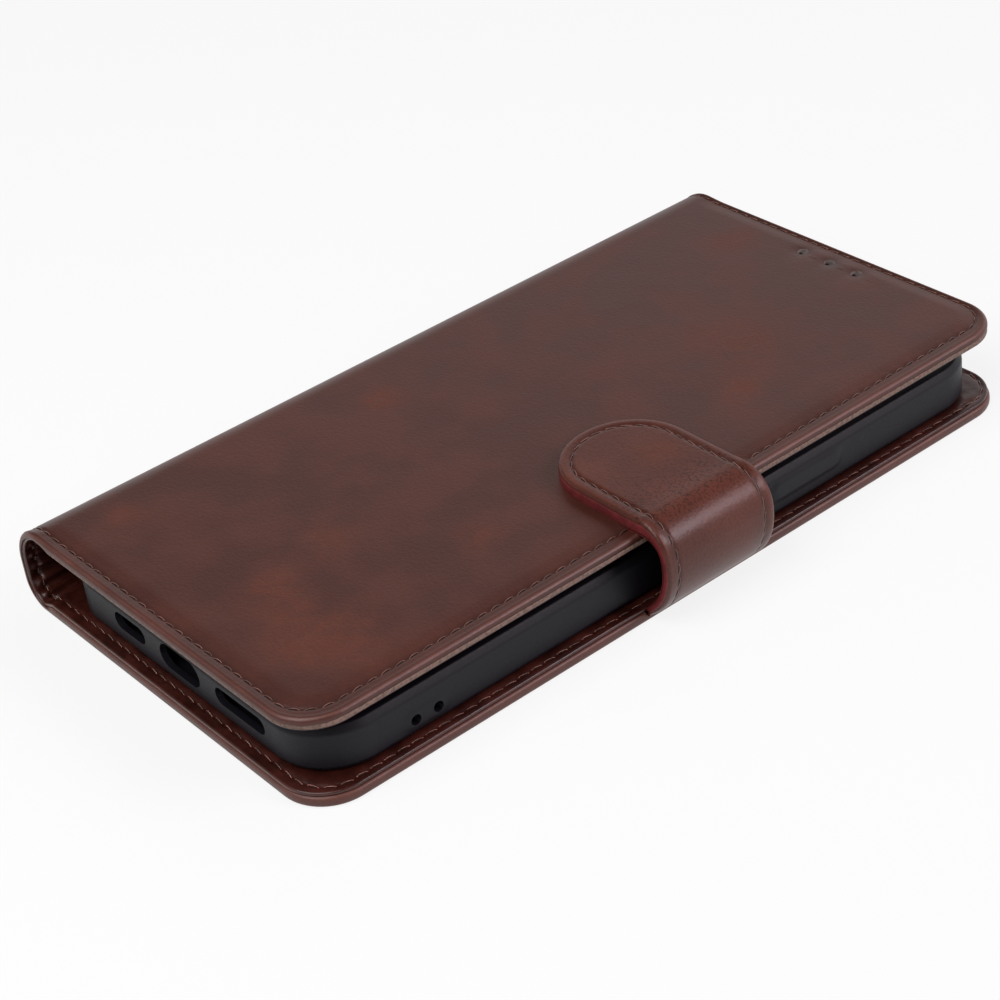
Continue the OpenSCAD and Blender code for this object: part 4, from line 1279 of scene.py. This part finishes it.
class MakeTray(bpy.types.Operator):
    """Moulds the phone tray with its lip, slots, lanyard holes and button pads"""

    bl_idname = "wallet.make_tray"
    bl_label = "Phone Tray"

    def execute(self, context):
        wall = 1.3
        middle_z = 8.1
        pads_rise = 0.4
        gap_under_cover = 1.0
        half = Vector((TRAY_HIGH.x - pads_rise, TRAY_HIGH.y))
        low_z, top_z = TRAY_LOW.z, TRAY_HIGH.z - gap_under_cover
        # Up the wall, over its lip and down inside, as inset, height and radius
        profile = round_polyline(
            (
                (0.7, low_z, 0),
                (0, low_z + 1, 0.8),
                (0, top_z - 1.4, 1.2),
                (0.9, top_z, 0.5),
                (2.5, top_z, 0.35),
                (2.5, top_z - 0.9, 0),
                (wall, top_z - 0.9, 0),
                (wall, low_z + 1.2, 0),
            )
        )
        bm = bmesh.new()
        corner_r = 12.0
        loops = [tray_loop(bm, p.x, p.y, half, corner_r) for p in profile]
        for first, second in zip(loops, loops[1:]):
            bmesh.ops.bridge_loops(bm, edges=first + second)
        for loop in (loops[0], loops[-1]):
            bmesh.ops.edgeloop_fill(bm, edges=loop)
        slice_at(bm, "Y", steps(10, 53, 0.8) + steps(-66, -53, 0.8))
        slice_at(bm, "Z", steps(low_z + 1.2, top_z - 1.6, 0.45))
        # Button pads and the lanyard holes' boss: side, middle along Y, height, length, width and rise
        head = half.y - wall - 0.1
        boss_y, boss_z = 21.3 - head, low_z + 3.2
        pads = (
            (1, head - 49, middle_z, 18, 3.8, pads_rise),
            (-1, head - 44, middle_z, 11, 3.8, pads_rise),
            (-1, head - 58, middle_z, 11, 3.8, pads_rise),
            (1, boss_y, boss_z, 8.5, 3.7, 0.25),
        )
        for v in bm.verts:
            for side, y, z, length, width, rise in pads:
                if side * v.co.x > half.x - 0.9:
                    along = max(0, abs(v.co.y - y) - (length - width) / 2)
                    reach = math.hypot(along, v.co.z - z)
                    v.co.x += side * rise * (1 - ease(width / 2 - 0.5, width / 2 + 0.5, reach))
        tray = finish_piece(bm, "phone_tray_moulding", [finishes()["satin_moulded_tpu"]], sharp=50)
        # Slots in the foot for charging and sound, as middle, length and height, and the ringer's slot
        cutter = bmesh.new()
        for x, length, height in ((0, 12.4, 5.2), (-16.05, 9.9, 3.6), (18.45, 14.7, 3.6)):
            capsule_cutter(cutter, (x, -half.y, middle_z), "Y", length, height, 6)
        capsule_cutter(cutter, (-half.x, head - 29, middle_z), "X", 8, 3.4, 5)
        lanyard_r, lanyard_gap = 1.05, 2.4
        across = Matrix.Rotation(math.pi / 2, 4, "Y")
        for step in (-lanyard_gap, lanyard_gap):
            add_bar(cutter, lanyard_r, 5, Matrix.Translation((half.x, boss_y + step, boss_z)) @ across)
        carve(tray, cutter)
        carve(tray, window_cutter())
        soften = tray.modifiers.new("soften", "BEVEL")
        soften.width = 0.25 * MM
        soften.segments = 2
        soften.limit_method = "ANGLE"
        soften.angle_limit = math.radians(55)
        soften.harden_normals = False
        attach(tray, "back_cover")
        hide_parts("phone_tray")
        return {"FINISHED"}


# ---- Pockets ----


def pocket_panel(node, crease):
    """One pocket panel in a bmesh, with soft edges and a line creased along its mouth."""
    low, high = mm_box(node)
    outline = Outline(low.xy, high.xy, 1.0)
    sheet = flat_sheet(outline, (0.05, 0.15, 0.3, 0.8), 2.0)
    slice_at(sheet, "X", [low.x + crease + d for d in (-0.4, -0.2, 0, 0.2, 0.4)])

    def faces(x, y):
        edge = outline.edge(x, y)
        line = 0.12 * bump(crease, 0.18, x - low.x)
        return low.z + rounding(edge, 0.25) + line, high.z - rounding(edge, 0.05)

    def marks(x, y):
        return 0.5 * bump(0.1, 0.25, outline.edge(x, y)), 0.0, 0.0

    bm = make_ply(sheet, low.x - 1, high.x + 1, faces, flat_place, marks)
    sheet.free()
    return bm


class MakePockets(bpy.types.Operator):
    """Makes the cash pocket and the card pockets inside the front cover"""

    bl_idname = "wallet.make_pockets"
    bl_label = "Pockets"

    def execute(self, context):
        lining = finishes()["glazed_lining_leather"]
        crease, notch_r, notch_y, seam_in = 1.8, 9, -40, 1.6
        for node in ("cash_pocket", "card_pocket_inner", "card_pocket_middle", "card_pocket_outer"):
            piece = finish_piece(pocket_panel(node, crease), node + "_panel", [lining, lining])
            if node == "cash_pocket":
                low, _ = mm_box(node)
                notch = bmesh.new()
                add_bar(notch, notch_r, 6, Matrix.Translation((low.x, notch_y, low.z)), segments=64)
                carve(piece, notch)
            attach(piece, "front_cover")
            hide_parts(node)
        low, high = mm_box("card_pocket_outer")
        outline = Outline(low.xy, high.xy, 3.0)
        bm = bmesh.new()
        # Three sides are sewn, and the side at the mouth is left open
        sew(bm, outline, seam_in, lambda p: p.x > low.x + 3, flat_place, lambda p: low.z + 0.06, -1)
        piece = finish_piece(bm, "card_pocket_stitches", sewing("waxed_inner_thread"), sharp=180)
        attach(piece, "front_cover")
        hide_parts("pocket_stitching")
        return {"FINISHED"}


class FinishInnerParts(bpy.types.Operator):
    """Gives the boards, foam, adhesive, magnet and keeper their finishes"""

    bl_idname = "wallet.finish_inner_parts"
    bl_label = "Inner Parts"

    def execute(self, context):
        inner = {
            "back_board": "grey_fibre_board",
            "front_board": "grey_fibre_board",
            "front_foam": "padding_foam",
            "tray_adhesive": "adhesive_film",
            "strap_anchor": "waxed_strap_leather",
            "clasp_keeper": "nickel_plated_steel",
            "tab_magnet": "nickel_plated_steel",
        }
        for node, finish in inner.items():
            mesh = frame["nodes"][node].data
            mesh.materials.clear()
            mesh.materials.append(finishes()[finish])
        return {"FINISHED"}


# ---- Stage ----

WHITE = linear("#ffffff")


class SetStage(bpy.types.Operator):
    """Lays a white floor, lights it softly and sets the camera"""

    bl_idname = "wallet.set_stage"
    bl_label = "Stage"

    def execute(self, context):
        look = context.scene.wallet_stage
        self.floor()
        self.sky(look)
        self.lamps(look)
        self.camera(look)
        context.scene.view_settings.view_transform = "Standard"
        return {"FINISHED"}

    def floor(self):
        """White paper, which shows white to the camera and in reflections and keeps the case's shadow."""
        bm = bmesh.new()
        bmesh.ops.create_grid(bm, x_segments=1, y_segments=1, size=3000)
        bmesh.ops.translate(bm, vec=(0, 0, -0.05), verts=bm.verts)
        add, _ = new_material("white_paper_floor")
        rays = add("ShaderNodeLightPath")
        shades = {SHARE: rays["Is Camera Ray"], UNDER: linear("#c4c4c4"), OVER: WHITE}
        colour = add(MIX, shades, COLOURS)[MIXED]
        paper = add("ShaderNodeBsdfDiffuse", {"Color": colour})[0]
        glow = add("ShaderNodeEmission", {"Color": WHITE, "Strength": 1.0})[0]
        seen = add(MATHS, {0: rays["Is Camera Ray"], 1: rays["Is Glossy Ray"]}, ADD)[0]
        seen = add(MATHS, {0: seen, 1: rays["Is Transmission Ray"]}, ADD_CLAMPED)[0]
        share = add(MATHS, {0: seen, 1: 0.82}, TIMES)[0]
        both = add("ShaderNodeMixShader", {0: share, 1: paper, 2: glow})[0]
        add(OUTPUT, {"Surface": both})
        finish_piece(bm, "floor", [bpy.data.materials["white_paper_floor"]])

    def sky(self, look):
        """A studio whose daylight comes low over the case's head, with a white sweep at the horizon."""
        world = bpy.data.worlds.new("white_studio")
        bpy.context.scene.world = world
        world.use_nodes = True
        world.node_tree.nodes.clear()
        add = partial(add_node, world.node_tree)
        toward = add(COORDS)["Generated"]
        height = add("ShaderNodeSeparateXYZ", {0: toward})["Z"]
        low_over_head = (0, math.sqrt(0.5), -math.sqrt(0.5))
        lean = add(VECTORS, {0: toward, 1: low_over_head}, {"operation": "DOT_PRODUCT"})["Value"]
        fade = {"From Min": -0.2, "From Max": 0.03, "To Min": look.dusk, "To Max": look.daylight}
        strength = add(RANGE, {"Value": lean, **fade}, SMOOTH)["Result"]
        sky = add("ShaderNodeBackground", {"Color": WHITE, "Strength": strength})[0]
        white = add("ShaderNodeBackground", {"Color": WHITE, "Strength": 1.0})[0]
        rays = add("ShaderNodeLightPath")
        fade = {"From Max": 0.2, "To Min": 1.0, "To Max": 0.0}
        sweep = add(RANGE, {"Value": height, **fade}, SMOOTH)["Result"]
        sweep = add(MATHS, {0: sweep, 1: rays["Is Glossy Ray"]}, TIMES)[0]
        seen = add(MATHS, {0: sweep, 1: rays["Is Camera Ray"]}, ADD)[0]
        seen = add(MATHS, {0: seen, 1: rays["Is Transmission Ray"]}, ADD_CLAMPED)[0]
        both = add("ShaderNodeMixShader", {0: seen, 1: sky, 2: white})[0]
        add("ShaderNodeOutputWorld", {"Surface": both})

    def lamps(self, look):
        """Two softboxes that face the case: a fill at its foot, and the key that shines on the strap."""
        for name, place, power, colour in (
            ("fill_softbox", (0.05, -0.45, 0.65), look.fill, "#ffffff"),
            ("key_softbox", (1.0, 0.73, 0.846), look.key, "#fff0fa"),
        ):
            lamp = bpy.data.lights.new(name, "AREA")
            lamp.size = 0.6
            lamp.energy = power
            lamp.color = linear(colour)[:3]
            holder = bpy.data.objects.new(name, lamp)
            holder.location = place
            holder.rotation_mode = "QUATERNION"
            holder.rotation_quaternion = (-Vector(place)).to_track_quat("-Z", "Y")
            bpy.context.scene.collection.objects.link(holder)

    def camera(self, look):
        """A camera at the foot, on the strap's side, that looks down at the case."""
        lens = bpy.data.cameras.new("camera")
        lens.lens = look.lens
        lens.sensor_width = 36
        lens.clip_start, lens.clip_end = 0.01, 20
        holder = bpy.data.objects.new("camera", lens)
        around, up = look.azimuth, look.elevation
        back = Vector((math.sin(around) * math.cos(up), -math.cos(around) * math.cos(up), math.sin(up)))
        holder.location = Vector((look.target_x, look.target_y, 0)) + back * look.distance
        holder.rotation_mode = "QUATERNION"
        level = (-back).to_track_quat("-Z", "Y")
        holder.rotation_quaternion = level @ Quaternion((0, 0, 1), look.roll)
        bpy.context.scene.collection.objects.link(holder)
        bpy.context.scene.camera = holder


# ---- Add-on ----

OPERATORS = (
    SetStage,
    MakeLeather,
    MakeLining,
    MakeStitches,
    MakeStrap,
    MakeTray,
    MakePockets,
    FinishInnerParts,
)


class WalletPanel(bpy.types.Panel):
    bl_idname = "VIEW3D_PT_wallet_case"
    bl_label = "Wallet Case"
    bl_space_type = "VIEW_3D"
    bl_region_type = "UI"
    bl_category = "Wallet Case"

    def draw(self, context):
        for operator in OPERATORS:
            self.layout.operator(operator.bl_idname)


GROUPS = {
    "wallet_cover": WalletCover,
    "wallet_thread": WalletThread,
    "wallet_strap": WalletStrap,
    "wallet_finish": WalletFinish,
    "wallet_stage": WalletStage,
}


def register():
    for name, group in GROUPS.items():
        bpy.utils.register_class(group)
        setattr(bpy.types.Scene, name, PointerProperty(type=group))
    for cls in (*OPERATORS, WalletPanel):
        bpy.utils.register_class(cls)


def unregister():
    for cls in (*OPERATORS, WalletPanel):
        bpy.utils.unregister_class(cls)
    for name, group in GROUPS.items():
        delattr(bpy.types.Scene, name)
        bpy.utils.unregister_class(group)


def main():
    register()
    bpy.ops.wallet.set_stage()
    bpy.ops.wallet.make_leather()
    bpy.ops.wallet.make_lining()
    bpy.ops.wallet.make_stitches()
    bpy.ops.wallet.make_strap()
    bpy.ops.wallet.make_tray()
    bpy.ops.wallet.make_pockets()
    bpy.ops.wallet.finish_inner_parts()


if __name__ == "__main__":
    main()
